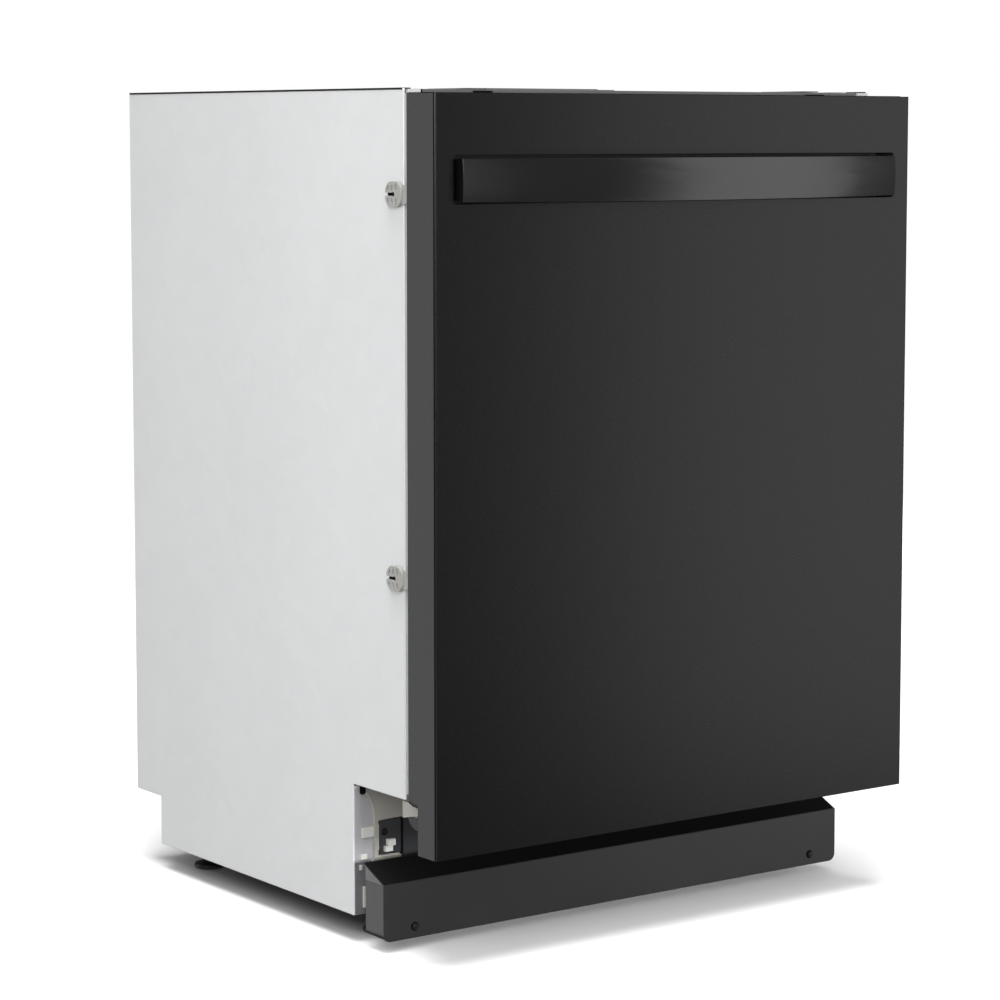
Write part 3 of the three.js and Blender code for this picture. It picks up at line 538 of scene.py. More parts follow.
def door_skin():
    """The folded front sheet: a U in plan, stepped at the foot of each side, with a window for the handle."""
    half, r, skin, depth = DOOR["half"], DOOR["radius"], 1.5, DOOR["depth"]
    outer = ([(-half, depth)] + corner_arc((-half + r, r), r, 180, 270, 8)
             + corner_arc((half - r, r), r, 270, 360, 8) + [(half, depth)])
    inner = ([(half - skin, depth)] + corner_arc((half - r, r), r - skin, 0, -90, 8)
             + corner_arc((-half + r, r), r - skin, -90, -180, 8) + [(-half + skin, depth)])
    skin_shape = Shape().sweep("z", outer + inner, DOOR["bottom"], DOOR["top"])
    low, high, back, shallow = 161.6, 164.9, 44.7, DOOR["lower_depth"]
    step = [(shallow, 100), (60, 100), (60, high), (back, high), (shallow, low)]
    cuts = Shape().sweep("x", step, -half - 2, half + 2)
    cuts.sweep("y", rounded(-POCKET["half"], POCKET["half"], POCKET["bottom"], POCKET["top"], 2.5), -5, 6)
    skin_shape.piece("door_skin", "door", "black_panel", ("door_outer_panel",), cuts, edge=0.45, segments=3)
    hems = Shape()
    hems.block(-half + 0.8, half - 0.8, 0.9, 28, DOOR["bottom"] + 0.2, DOOR["bottom"] + 1.7, 0.4)
    hems.block(-half + 0.8, half - 0.8, 0.9, 12, DOOR["top"] - 1.8, DOOR["top"] - 0.3, 0.4)
    hems.piece("door_skin_hems", "door", "black_panel")
    # Painted shade: a black strip on the door's top edge for the dark gap under the front strip above it.
    seal = Shape().block(-half + 2, half - 2, 12, 46, DOOR["top"] - 0.2, DOOR["top"] + 0.6, 0.2)
    seal.piece("door_top_gap_shade", "door", "rubber", material=RECESS_SHADE_PAINT)


def handle_front(x):
    """How far the handle's middle line stands in front of the door."""
    return -(HANDLE["end"] + (HANDLE["middle"] - HANDLE["end"]) * (1 - (x / HANDLE["half"]) ** 2))


def door_handle():
    """A bar bowed in plan and crowned from top to bottom, on an end post at each side of its pocket."""
    half, thickness, steps = HANDLE["half"], 10.0, 72
    middle = (HANDLE["bottom"] + HANDLE["top"]) / 2
    reach = (HANDLE["top"] - HANDLE["bottom"]) / 2
    loops = []
    for i in range(steps + 1):
        x = -half + 2 * half * i / steps
        front = handle_front(x)
        swell = 1.2 * (1 - (x / half) ** 2)
        section = []
        for j in range(17):
            t = -1 + 2 * j / 16
            ease = 1 - abs(t) ** 2.2
            section.append((x, front + HANDLE["crown"] * (1 - ease), middle + t * (reach + swell * (t < 0))))
        for t in (0.985, 0.94, -0.94, -0.985):
            back = front + thickness - (1.2 if abs(t) > 0.95 else 0.0)
            section.append((x, back, middle + t * reach))
        loops.append(section)
    bar = Shape().rings(loops)
    bar.piece("handle_bar", "door", "gloss_black", ("door_handle",), edge=2.0, segments=4, smooth=38)
    posts = Shape()
    outline = rounded(258, 275.4, HANDLE["bottom"] + 1, HANDLE["top"] - 1, 3)
    posts.sweep("y", outline, handle_front(262) + 5, POCKET["depth"] - 2)
    posts.mirrored().piece("handle_posts", "door", "gloss_black", edge=0.5)


def control_console():
    refined("control_console", "black_plastic", 0.5)
    for i in range(1, 6):
        refined(f"button_{i}", "gloss_black", 0.9, 3)


door_skin()
door_handle()
control_console()


# ---------- outside of the cabinet
CABINET = {"half": 298.0, "front": 58.9, "rear": 591.8, "top": 850.6}
CLIP_HEIGHTS = {"upper": 749.5, "lower": 378.7}
FEET = {"x": 250.0, "rows": {"front": 176.0, "rear": 515.0}}


def side_clip(name, z, flip):
    """A moulded clip: a ribbed octagon with a keyhole slot, and a thin hook round the panel's front edge."""
    panel, far = CABINET["half"], 310
    outline = [(63, z - 12.3), (78, z - 12.3), (84, z - 6), (84, z + 6), (78, z + 12.3), (63, z + 12.3),
               (57, z + 6.5), (57, z - 6.5)]
    soft = [tuple(p)[1:] for p in fillet([(0, *p) for p in outline + outline[:2]], 3.0, 4)[1:-1]]
    plate = Shape().sweep("x", soft[:-1], panel + 0.4, panel + 4.9)
    cuts = Shape()
    cuts.sweep("x", rounded(69.5, 86, z - 1.5, z + 1.5, 0.6), panel + 1.6, far)
    cuts.rod("x", (70.5, z), panel + 1.6, far, 2.4, 20)
    for side in (-1, 1):
        for k, y in enumerate((65.8, 73.0, 79.8)):
            lean = 0.4 + 0.5 * k
            low, high = z + side * 4.0, z + side * (9.8 - 0.8 * k)
            groove = [(y - 1.0, low), (y + 1.0, low), (y + 1.0 - lean, high), (y - 1.0 - lean, high)]
            cuts.sweep("x", groove if side > 0 else groove[::-1], panel + 2.2, far)
    cuts.flipped(flip)
    plate.flipped(flip)
    plate.piece(f"{name}_plate", "cabinet", "grey_plastic", (name,), cuts, edge=0.45, segments=3)
    hook = Shape().sweep("x", rounded(49.9, 60, z - 9, z + 9, 2.2), panel + 0.4, panel + 2.7, 0.5)
    hook.block(panel - 1, panel + 0.6, 50.2, 58.2, z - 7, z + 7, 0.4)
    hook.flipped(flip).piece(f"{name}_hook", "cabinet", "grey_plastic")
    rim = Shape().tube([(panel + 3.9, 58.6, z - 4.8), (panel + 3.9, 58.6, z + 4.8)], 0.5)
    rim.flipped(flip).piece(f"{name}_bead", "cabinet", "grey_plastic")
    # Painted shade on the floor of the keyhole slot.
    floor = Shape().sweep("x", rounded(68.4, 83, z - 2.2, z + 2.2, 1.4), panel + 1.7, panel + 2.15)
    floor.flipped(flip).piece(f"{name}_slot_shade", "cabinet", "grey_plastic", material=RECESS_SHADE_PAINT)


def cabinet_outside():
    for side in ("left", "right"):
        refined(f"side_panel_{side}", "galvanised_steel", 0.95, 3)
        for level, z in CLIP_HEIGHTS.items():
            side_clip(f"side_clip_{level}_{side}", z, side == "left")
    hem = Shape().tube([(297.2, 59.9, 163.4), (297.2, 59.9, 849.0)], 1.25, sides=16)
    hem.mirrored().piece("panel_front_hems", "cabinet", "galvanised_steel", smooth=60)
    # Painted shade: the strips at the panels' front returns take the darker zinc since they face away from
    # the light.
    strip = Shape().block(290.5, 296.8, 55.4, 58.6, 168, 845.6, 0.5)
    strip.mirrored().piece("panel_front_shade_strips", "cabinet", "galvanised_steel", material=ZINC_SHADE_PAINT)
    refined("rear_panel", "galvanised_steel", 0.7, 3)
    refined("top_panel", "galvanised_steel", 0.4)
    refined("front_frame", "dark_steel", 0.5)
    for side in ("left", "right"):
        refined(f"top_bracket_{side}", "dark_steel", 0.4)


def top_edge():
    """A black strip of painted shade along each side panel's top fold, the corner caps, the raised plate, and
    stops coloured with the painted shade black, all showing above the door.
    """
    half, front, rear, top = (CABINET[k] for k in ("half", "front", "rear", "top"))
    # Painted shade: a black strip along each side panel's top fold.
    shade_band = Shape().block(half - 9.5, half + 0.35, 61, rear - 1.3, top - 1.6, top + 0.35, 0.2)
    shade_band.mirrored().piece("top_edge_shade_strip", "cabinet", "rubber", material=EDGE_SHADE_PAINT)
    near = front - 0.2
    caps = Shape().block(280.6, 294.7, 55.4, near, 846.2, 849.5, 0.4)
    caps.mirrored().piece("frame_corner_caps", "cabinet", "white_plastic", material=PALE_CAP)
    plate = Shape().block(-200, -63, 61.6, 76, 849.2, 851.2, 0.2)
    plate.block(-62.8, -42, 61.6, 76, 848.6, 850.5, 0.2)
    plate.piece("top_plate_lip", "cabinet", "dark_steel")
    # The stops take the painted shade black.
    stops = Shape().block(-217, -196, 55.6, near, 845.9, 848.6, 0.3)
    stops.block(209, 233, 55.6, near, 845.9, 847.6, 0.3)
    stops.block(-279.8, -278.4, 55.6, near, 845.9, 849.4, 0.2)
    stops.piece("frame_top_shaded_stops", "cabinet", "black_plastic", material=RECESS_SHADE_PAINT)


def kick_panel():
    """The toe panel with its sloped top ledge, and a screw in a dimple near each end. Painted shade darkens
    the ledge and the dimples, and lighter copies of the black paint give painted light on the end cheeks and
    gussets.
    """
    refined("kick_panel", "black_kick", 0.7, 3)
    dimple_shade_discs = Shape()
    heads = Shape()
    face, z = 98.0, 23.0
    for x in (-261, 261):
        dimple_shade_discs.rod("y", (x, z), face - 0.25, face + 0.2, 4.6, 32)
        heads.rod("y", (x, z), face - 2.4, face, 3.1, 24, 0.9)
        heads.block(x - 1.9, x + 1.9, face - 2.8, face - 2, z - 0.4, z + 0.4)
    # Painted light: the end cheeks and gussets take lighter copies of the black paint.
    cheek = [(98.9, 20), (129.6, 20), (129.6, 68.2), (98.9, 68.2)]
    gusset = [(99.8, 69.2), (129.8, 69.2), (129.8, 81.2), (132.8, 83.8)]
    for side in ("left", "right"):
        for title, outline, finish in (("end", cheek, KICK_END_LIT_PAINT), ("gusset", gusset, KICK_GUSSET_LIT_PAINT)):
            plate = Shape().sweep("x", outline, 297.9, 298.35, 0.1, 1).flipped(side == "left")
            plate.piece(f"kick_{title}_{side}", "cabinet", "black_kick", material=finish)
    # Painted shade over the sloped ledge.
    shade = Shape().sweep("x", [(99.0, 69.4), (134.3, 85.2), (134.3, 85.5), (99.0, 69.75)], -297.0, 297.0)
    shade.piece("kick_ledge_painted_shade", "cabinet", "black_kick", material=RECESS_SHADE_PAINT)
    # Painted shade in the dimple round each screw.
    dimple_shade_discs.piece("kick_screw_dimple_shade", "cabinet", "black_kick", material=RECESS_SHADE_PAINT)
    heads.piece("kick_screws", "cabinet", "black_kick", material=SCREW_BLACK)


def foot(name, x, y):
    """A levelling foot: pad, hexagon and threaded stem."""
    pad = [(0, 0), (15.4, 0), (17.6, 1.2), (18, 2.8), (17.2, 4.6), (12, 6.2), (8, 7.0), (0, 7.2)]
    turn = Shape().turned("z", (x, y), pad, 64)
    hexagon = corner_arc((x, y), 9, 0, 300, 5)
    turn.sweep("z", hexagon, 6.5, 12, 0.6)
    pitch, top = 1.5, 59.0
    thread = [(0, 11)]
    z = 11.5
    while z < top:
        thread += [(4.1, z), (5.0, z + pitch / 2)]
        z += pitch
    thread += [(4.1, top + 0.4), (0, top + 0.4)]
    turn.turned("z", (x, y), thread, 24)
    turn.piece(f"{name}_turned", name, "black_plastic", (name,))


cabinet_outside()
top_edge()
kick_panel()
for end, foot_y in FEET["rows"].items():
    foot(f"foot_{end}_left", -FEET["x"], foot_y)
    foot(f"foot_{end}_right", FEET["x"], foot_y)


# ---------- hinge corner and base
def bracket_outline():
    """The moulded bracket on the right: a plate with a hollow curved edge, a strip and a low ledge."""
    curve = [tuple(p)[1:] for p in fillet([(0, 275.0, 112), (0, 275.5, 140), (0, 294.0, 158)], 60, 14)]
    plate = [(294, 165.4), (222, 165.4), (222, 127.5), (243, 122.0), (270, 121.5), (270, 86.5), (244, 86.0)]
    ledge = corner_arc((243.5, 83.5), 2.4, 90, 270, 6) + [(244, 81.0), (277.5, 81.0), (275.0, 86.0)]
    return plate + ledge + curve


def base_bracket(side):
    flip = side == "left"
    name = f"base_bracket_{side}"
    plate = Shape().sweep("y", bracket_outline(), 148.6, 151.7).flipped(flip)
    plate.piece(f"{name}_plate", "cabinet", "beige_plastic", (name,), edge=0.55, segments=3, smooth=42)
    rib = Shape().tube([(290.5, 148.5, 159), (279, 148.5, 146), (274.2, 148.5, 128)], 0.7, 9)
    rib.tube([(262, 148.4, 158.5), (250, 148.4, 156.6), (241, 148.4, 157.4)], 0.5, 8)
    rib.block(270.2, 275, 147.6, 149.2, 92, 118, 0.5)
    rib.flipped(flip).piece(f"{name}_ribs", "cabinet", "beige_plastic")
    # Painted shade in the bracket's notches.
    notch = Shape().block(252, 257.5, 147.9, 148.8, 162.2, 165.3, 0.3)
    notch.sweep("y", rounded(286.0, 292.8, 151.0, 160.5, 2.4), 147.7, 148.5)
    notch.flipped(flip).piece(f"{name}_notch_shades", "cabinet", "black_plastic", material=RECESS_SHADE_PAINT)
    tip = [(34, 151), (66, 143.6), (66, 160.5), (58, 159.5), (50.9, 157.2), (34, 157)]
    nose = Shape().sweep("x", tip, 295.1, 296.7, 0.5)
    nose.flipped(flip).piece(f"bracket_nose_{side}", "cabinet", "beige_plastic")
    # Painted shade: the flange's front face in darker zinc, darker still on its foot under the kick's ledge.
    face = Shape().block(263, 296.6, 151.7, 152.5, 81.4, 157, 0.2)
    face.flipped(flip).piece(f"flange_face_{side}", "cabinet", "galvanised_steel", material=ZINC_SHADE_PAINT)
    low_face = Shape().block(263, 296.6, 151.5, 152.5, 28.8, 80.8, 0.2)
    low_face.flipped(flip).piece(f"flange_foot_{side}", "cabinet", "galvanised_steel", material=ZINC_DEEP_SHADE_PAINT)
    tabs = Shape().block(273.8, 288.3, 150.2, 152.0, 106, 116, 0.5)
    tabs.block(282.6, 290.0, 150.4, 152.1, 84, 89, 0.5)
    # The small hook: real, but its bright white is a painted highlight.
    tabs.block(288.6, 291.4, 150.4, 152.1, 73.5, 78.5, 0.4)
    tabs.block(284.4, 287.4, 149.6, 152.2, 35, 56, 0.7)
    tabs.flipped(flip).piece(f"flange_tabs_{side}", "cabinet", "white_plastic")


def wiring():
    """The dark cover beside the left bracket, its fixing screw and its two plugs."""
    cover = Shape().sweep("y", rounded(-269.6, -243.4, 87, 121.4, 2.0), 146.0, 151.6)
    cover.piece("wiring_cover_plate", "cabinet", "dark_plastic", ("wiring_cover",), edge=0.5)
    panel = Shape().block(-242.6, -222, 147.6, 151.6, 82.4, 122.0, 0.4)
    panel.piece("wiring_cover_rear_panel", "cabinet", "dark_plastic")
    screw_axis = (-264.6, 110.2)
    screw = Shape().rod("y", screw_axis, 144.8, 146.4, 2.4, 24, 0.7)
    screw.piece("wiring_cover_screw", "cabinet", "dark_plastic", material=SCREW_BLACK)
    # Painted shade in the screw's recess.
    cup = Shape().rod("y", screw_axis, 145.75, 146.1, 3.6, 24)
    cup.piece("wiring_cover_screw_recess_shade", "cabinet", "dark_plastic", material=RECESS_SHADE_PAINT)
    plugs = Shape().block(-263, -254.2, 141.4, 145.8, 96.2, 102.6, 0.5)
    plugs.block(-266, -257.6, 141.4, 145.8, 90.6, 95.9, 0.5)
    for x in (-261.2, -258.6, -256.0):
        plugs.block(x - 0.7, x + 0.7, 140.9, 142.0, 97.2, 101.4, 0.2)
    # Painted shade in the gap between the cover and the panel beside it.
    gap = Shape().block(-245.2, -242.4, 145.7, 147.0, 85.0, 121.6, 0.2)
    gap.piece("wiring_cover_gap_shade", "cabinet", "dark_plastic", material=RECESS_SHADE_PAINT)
    plugs.piece("wiring_plugs", "cabinet", "white_plastic", ("wiring_connector",))


PUMP_AXIS = (358.0, 108.0)


def base():
    refined("base_frame", "dark_plastic", 0.8)
    for side in ("left", "right"):
        base_bracket(side)
    wiring()
    refined("sump", "dark_plastic", 0.8)
    refined("wash_pump", "dark_plastic", 1.6, 3)
    refined("drain_pump", "white_plastic", 1.4, 3)
    refined("inlet_valve", "white_plastic", 1.2, 3)
    refined("junction_box", "galvanised_steel", 0.9, 3)
    ribs = Shape()
    for x in range(-215, -100, 13):
        fin = [(0, x), (43.4, x), (43.8, x + 1), (43.8, x + 3), (43.4, x + 4), (0, x + 4)]
        ribs.turned("x", PUMP_AXIS, fin, 48)
    ribs.piece("wash_pump_fins", "cabinet", "dark_plastic")
    gland = Shape().sweep("y", corner_arc((200, 60), 12.5, 0, 300, 5), 263, 269, 0.8)
    gland.piece("junction_box_gland_nut", "cabinet", "dark_plastic")


# ---------- tub and what is fixed in it
TUB = {
    "half": 282.0, "front": 61.5, "rear": 576.0, "bottom": 168.0, "top": 844.0, "wall": 2.5, "radius": 30.0,
}
SUMP = {"x": 40.0, "y": 358.0, "radius": 106.0}
HUB = (0.0, 318.0)
FILTER = {"x": 75.0, "y": 395.0, "radius": 30.0}


def tub():
    """A drawn stainless shell: round corners, a rounded rear edge and pressed beads."""
    half, rear, wall, r = TUB["half"], TUB["rear"], TUB["wall"], TUB["radius"]

    def ring(inset, y):
        outline = rounded(-half + inset, half - inset, TUB["bottom"] + inset, TUB["top"] - inset,
                          max(r - inset, 4.0), 10)
        return [(x, y, z) for x, z in outline]

    round_rear = 14.0
    turn = [radians(90 * k / 6) for k in range(7)]
    inside = [ring(wall + round_rear * (1 - sin(a)), rear - wall - round_rear * (1 - cos(a)))
              for a in turn]
    outside = [ring((round_rear + wall) * (1 - cos(a)), rear - (round_rear + wall) * (1 - sin(a)))
               for a in turn]
    shell = Shape().rings(inside + [ring(wall, TUB["front"]), ring(0, TUB["front"])] + outside)
    hole = Shape().rod("z", (SUMP["x"], SUMP["y"]), 150, 185, SUMP["radius"], 72)
    shell.piece("tub_shell", "cabinet", "stainless_steel", ("tub",), hole, smooth=30)
    beads = Shape()
    flat = [(-0.2, -5.0), (-0.2, 5.0), (0.9, 3.2), (1.3, 0.0), (0.9, -3.2)]
    x = half - wall - 0.1
    for z in (300.0, 430.0, 690.0):
        beads.tube([(x, 110, z), (x, 545, z)], 0, section=flat)
    beads.mirrored()
    y = rear - wall - 0.6
    for x in (-170.0, -110.0, 110.0, 170.0):
        beads.tube([(x, y, 240), (x, y, 780)], 2.6, sides=12)
    beads.piece("tub_pressings", "cabinet", "stainless_steel")
    ledge = Shape().block(246, 264, 92, 558, TUB["bottom"] + 1.5, 175.5, 2.2, 4)
    ledge.mirrored().piece("tub_wheel_ledges", "cabinet", "stainless_steel")


def tub_gasket():
    bulb = rounded(-3.9, 3.9, -4.4, 4.4, 3.4, 5)
    seal = Shape().tube([(281.5, 54, 190.5), (281.5, 54, 824), (-281.5, 54, 824), (-281.5, 54, 190.5)], 0,
                        bend=16, steps=8, section=bulb)
    seal.piece("tub_gasket_bulb", "cabinet", "rubber", ("tub_gasket",))


def heating_element():
    x, y0, y1, z = 205.0, 165.0, 500.0, 180.0
    right = [(x, y0, z), (x, y1, z), (60, y1, z), (60, y1 + 18, z - 5)]
    left = [(-px, py, pz) for px, py, pz in right[::-1]]
    loop = Shape().tube(left + right, 3.4, bend=26, sides=14, steps=8)
    loop.piece("heating_element_loop", "cabinet", "element_steel", ("heating_element",))
    clips = Shape()
    for cx, cy in ((-x, 240), (-x, 420), (x, 240), (x, 420)):
        clips.block(cx - 5, cx + 5, cy - 2, cy + 2, 171.2, 184.2, 1.2, 3)
    clips.piece("heating_element_clips", "cabinet", "stainless_steel")


def feed_tube():
    riser = Shape().tube([(0, 565, 171.5), (0, 565, 832), (0, HUB[1], 832)], 0, bend=26, steps=8,
                         section=rounded(-5.8, 5.8, -5.8, 5.8, 4.2, 5))
    riser.turned("y", (0, 523), [(0, 553.6), (7, 553.6), (9, 555.4), (9, 565), (0, 566)], 36)
    head = [(0, 812.2), (12, 812.2), (21, 814.6), (24, 819), (23, 826), (10, 828), (0, 828)]
    riser.turned("z", HUB, head, 48)
    riser.piece("feed_tube_moulding", "cabinet", "grey_moulding", ("feed_tube",), smooth=40)
    # Painted shade in the ceiling jets' holes.
    jet_holes_shaded = Shape()
    for centre in corner_arc(HUB, 15, 0, 315, 7):
        jet_holes_shaded.rod("z", centre, 811.6, 814.0, 1.6, 12)
    jet_holes_shaded.piece("ceiling_spray_jet_shades", "cabinet", "grey_moulding", material=RECESS_SHADE_PAINT)


def filter_area():
    refined("filter_plate", "stainless_steel", 0.5)
    rings = Shape()
    for r in (40, 62, 84):
        rings.hoop(corner_arc((SUMP["x"], SUMP["y"]), r, 0, 352.5, 47), 161.0, 0.8, 6)
    cutter = Shape().rod("z", (FILTER["x"], FILTER["y"]), 150, 170, FILTER["radius"] + 1.4, 40)
    rings.piece("filter_plate_rings", "cabinet", "stainless_steel", cuts=cutter)
    x, y, r = FILTER["x"], FILTER["y"], FILTER["radius"]
    outside = [(0, 112), (r - 1, 112), (r, 113), (r, 171), (r - 0.6, 172)]
    inside = [(r - 2.4, 172), (r - 3, 171.4), (r - 3, 115), (0, 115)]
    cup = Shape().turned("z", (x, y), outside + inside, 64)
    cup.piece("filter_cup_wall", "filter_cup", "grey_moulding", ("filter_cup",))
    grip = Shape().sweep("y", [(x - r + 1.5, 164), (x + r - 1.5, 164), (x + r - 3, 171)]
                         + corner_arc((x + 12, 177), 4, 20, 90, 4) + corner_arc((x - 12, 177), 4, 90, 160, 4)
                         + [(x - r + 3, 171)], y - 3.6, y + 3.6, 1.1, 3)
    grip.piece("filter_cup_grip", "filter_cup", "grey_moulding")
    bars = Shape()
    for centre in corner_arc((x, y), r - 2.9, 0, 345, 23):
        bars.rod("z", centre, 116, 168, 0.6, 8)
    bars.piece("filter_cup_bars", "filter_cup", "grey_moulding")
    cap = [(0, 172), (17.4, 172), (18, 172.8), (17.8, 184), (15.5, 188), (10, 189.8), (0, 190)]
    dome = Shape().turned("z", (180, 120), cap, 48)
    dome.piece("float_dome", "float", "grey_moulding", ("float",))


# ---------- racks, rails and spray arms
LOWER = {"half": 244.0, "front": 92.0, "rear": 552.0, "floor": 210.0, "rim": 320.0}
UPPER = {"half": 250.0, "front": 82.0, "rear": 552.0, "floor": 528.0, "rim": 628.0}


def wire_basket(shape, rack):
    """A basket of bent wires: hoops round the walls, and U shapes each way that make the floor."""
    half, front, rear, floor, rim = (rack[k] for k in ("half", "front", "rear", "floor", "rim"))
    across, along, lean, wire, inset = 16, 11, 5.0, 1.9, 2.6
    x, y0, y1 = half - inset, front + inset, rear - inset
    low = floor + 2.4
    for k in range(along + 1):
        y = y0 + 14 + (y1 - y0 - 28) * k / along
        bent = [(-x, y, rim), (-x + lean, y, low), (x - lean, y, low), (x, y, rim)]
        shape.tube(bent, wire, bend=16, sides=8)
    for k in range(across + 1):
        u = -x + 16 + (2 * x - 32) * k / across
        bent = [(u, y0, rim), (u, y0 + lean, low + 1.4), (u, y1 - lean, low + 1.4), (u, y1, rim)]
        shape.tube(bent, wire, bend=16, sides=8)
    for z, grow, thick in ((rim + 1.2, 0.0, 2.6), (rim - 38, 1.2, 1.9), (rim - 76, 2.8, 1.9)):
        outline = rounded(-x + grow, x - grow, y0 + grow, y1 - grow, 18, 6)
        shape.hoop(outline, z, thick, 10)


def tines(shape, x, y0, y1, count, floor, height, lean):
    """A row of leaning, round-tipped wires on a rail along the rack."""
    tip = floor + height
    bead = [(0, tip - 1), (1.9, tip - 0.6), (1.9, tip + 0.6), (0, tip + 1.9)]
    for k in range(count):
        y = y0 + (y1 - y0) * k / (count - 1)
        shape.tube([(x, y, floor), (x + lean, y, tip)], 1.7, sides=8)
        shape.turned("z", (x + lean, y), bead, 8)
    shape.tube([(x, y0 - 12, floor), (x, y1 + 12, floor)], 1.8, sides=8)


def wheel(shape, y, z, inner, outer, radius):
    """A moulded wheel on the x axis: a tyre, a sunk web and a hub, alike on both faces."""
    web = (outer - inner) * 0.3
    face = [(0, 0), (4, 0), (4.6, web), (radius - 4, web), (radius - 3, 0), (radius - 0.8, 0), (radius, 0.9)]
    profile = [(r, inner + h) for r, h in face] + [(r, outer - h) for r, h in face[::-1]]
    shape.turned("x", (y, z), profile, 40)


def rack_wires(name, rack, rows, first, count, height):
    """The wires of one rack: its basket and its rows of tines, given as (x, lean) pairs."""
    wires = Shape()
    wire_basket(wires, rack)
    for x, lean in rows:
        tines(wires, x, first, 515, count, rack["floor"] + 5, height, lean)
    wires.piece(f"{name}_wires", name, "coated_wire", (name,), smooth=50)


def lower_rack():
    rows = ((-190, 7), (-120, 7), (-50, -6), (20, -6), (90, -6))
    rack_wires("lower_rack", LOWER, rows, first=130, count=16, height=62)
    wheels = Shape()
    mounts = Shape()
    for y in (145, 265, 395, 515):
        wheel(wheels, y, 192, 250.2, 257.8, 16)
        mounts.block(240.5, 246.6, y - 8, y + 8, 186, 218, 1.6, 3)
        mounts.rod("x", (y, 192), 244, 251.5, 4.2, 20)
    wheels.mirrored().piece("lower_rack_wheels", "lower_rack", "grey_moulding")
    mounts.mirrored().piece("lower_rack_wheel_mounts", "lower_rack", "grey_moulding")


def upper_rack():
    rows = ((-186, 6), (-124, 6), (124, -6), (186, -6))
    rack_wires("upper_rack", UPPER, rows, first=120, count=14, height=46)
    wheels = Shape()
    plates = Shape()
    for y in (330, 530):
        wheel(wheels, y, 575, 259.1, 263.3, 15.5)
        outline = rounded(y - 10, y + 10, UPPER["floor"] + 8, UPPER["rim"] - 6, 4)
        plates.sweep("x", outline, 246, 250, 1.0)
        plates.rod("x", (y, 575), 248, 260, 4.0, 20)
    wheels.mirrored().piece("upper_rack_wheels", "upper_rack", "grey_moulding")
    plates.mirrored().piece("upper_rack_wheel_plates", "upper_rack", "grey_moulding")
    pipe = [(0, 310), (4, 310), (6.5, 313), (6.5, 546), (6.0, 551.4), (0, 551.4)]
    feed = Shape().turned("y", (0, 523), pipe, 32)
    feed.turned("z", HUB, [(0, 503.2), (7.4, 503.2), (8, 504), (8, 524), (7, 525), (0, 525)], 32)
    for y in (360, 430, 500):
        feed.sweep("y", rounded(-10, 10, 519, 527.6, 2), y - 4, y + 4, 0.6)
    feed.piece("upper_rack_manifold", "upper_rack", "grey_moulding", smooth=40)


def rails():
    for side in ("left", "right"):
        refined(f"upper_rail_{side}", "stainless_steel", 0.5)
        refined(f"rail_guide_{side}", "grey_moulding", 1.0)
        stop = Shape()
        for y in (76.0, 553.0):
            stop.sweep("y", rounded(258.6, 271.4, 557, 593, 3), y, y + 6, 0.8)
        stop.flipped(side == "left").piece(f"upper_rail_{side}_stops", "upper_rails", "grey_moulding")


def arm_outline(reach):
    """Two swept halves of a blade; the second is the first, half a turn on."""
    half = ([(20, -22), (60, -17.5), (reach - 40, -9.5)]
            + corner_arc((reach - 14, 6), 13.6, -70, 80, 8) + [(reach - 60, 22.4), (60, 24.5), (20, 26)])
    return half + [(-x, -y) for x, y in half]


def spray_arm(name, bottom, top, reach, opens_up):
    """A blade with nozzles on a hub whose socket opens upwards or downwards; its body has its name."""
    place = [(HUB[0] + x, HUB[1] + y) for x, y in arm_outline(reach)]
    blade = Shape().sweep("z", place, bottom + 0.2, top - 0.2)
    blade.piece(f"{name}_blade", name, "grey_moulding", (name,), edge=3.2, segments=5, smooth=50)
    if opens_up:
        wall = [(0, bottom + 1), (15, bottom), (16, bottom + 1), (16, top + 5), (15, top + 6)]
        socket = [(11, top + 6), (10.5, top + 5), (10.5, bottom + 6), (0, bottom + 6)]
        profile = wall + socket
    else:
        socket = [(0, top - 6), (10.5, top - 6), (10.5, bottom - 7), (11, bottom - 8)]
        wall = [(15, bottom - 8), (16, bottom - 7), (16, top - 1), (14.5, top), (0, top)]
        profile = socket + wall
    hub = Shape().turned("z", HUB, profile, 48)
    hub.piece(f"{name}_hub", name, "grey_moulding", smooth=40)
    rims = Shape()
    holes = Shape()
    rim = [(0, 0.8), (6.6, 0.8), (6.2, 0.1), (4.2, 0.05), (0, 0.05)]
    for k, r in enumerate((48, 82, 116, 150, 180, reach - 18)):
        for sign in (1, -1):
            x = HUB[0] + sign * r
            y = HUB[1] + sign * (4 + 5 * (k % 2))
            slit = rounded(x - 3.2, x + 3.2, y - 1.0, y + 1.0, 0.9, 3)
            rims.turned("z", (x, y), [(u, top - h) for u, h in rim], 28)
            holes.sweep("z", slit, top - 0.5, top)
            if opens_up:
                rims.turned("z", (x, y), [(u, bottom + h) for u, h in rim[::-1]], 28)
                holes.sweep("z", slit, bottom, bottom + 0.5)
    rims.piece(f"{name}_nozzles", name, "grey_moulding")
    # Painted shade in the nozzles' jet slits.
    holes.piece(f"{name}_jets", name, "grey_moulding", material=RECESS_SHADE_PAINT)


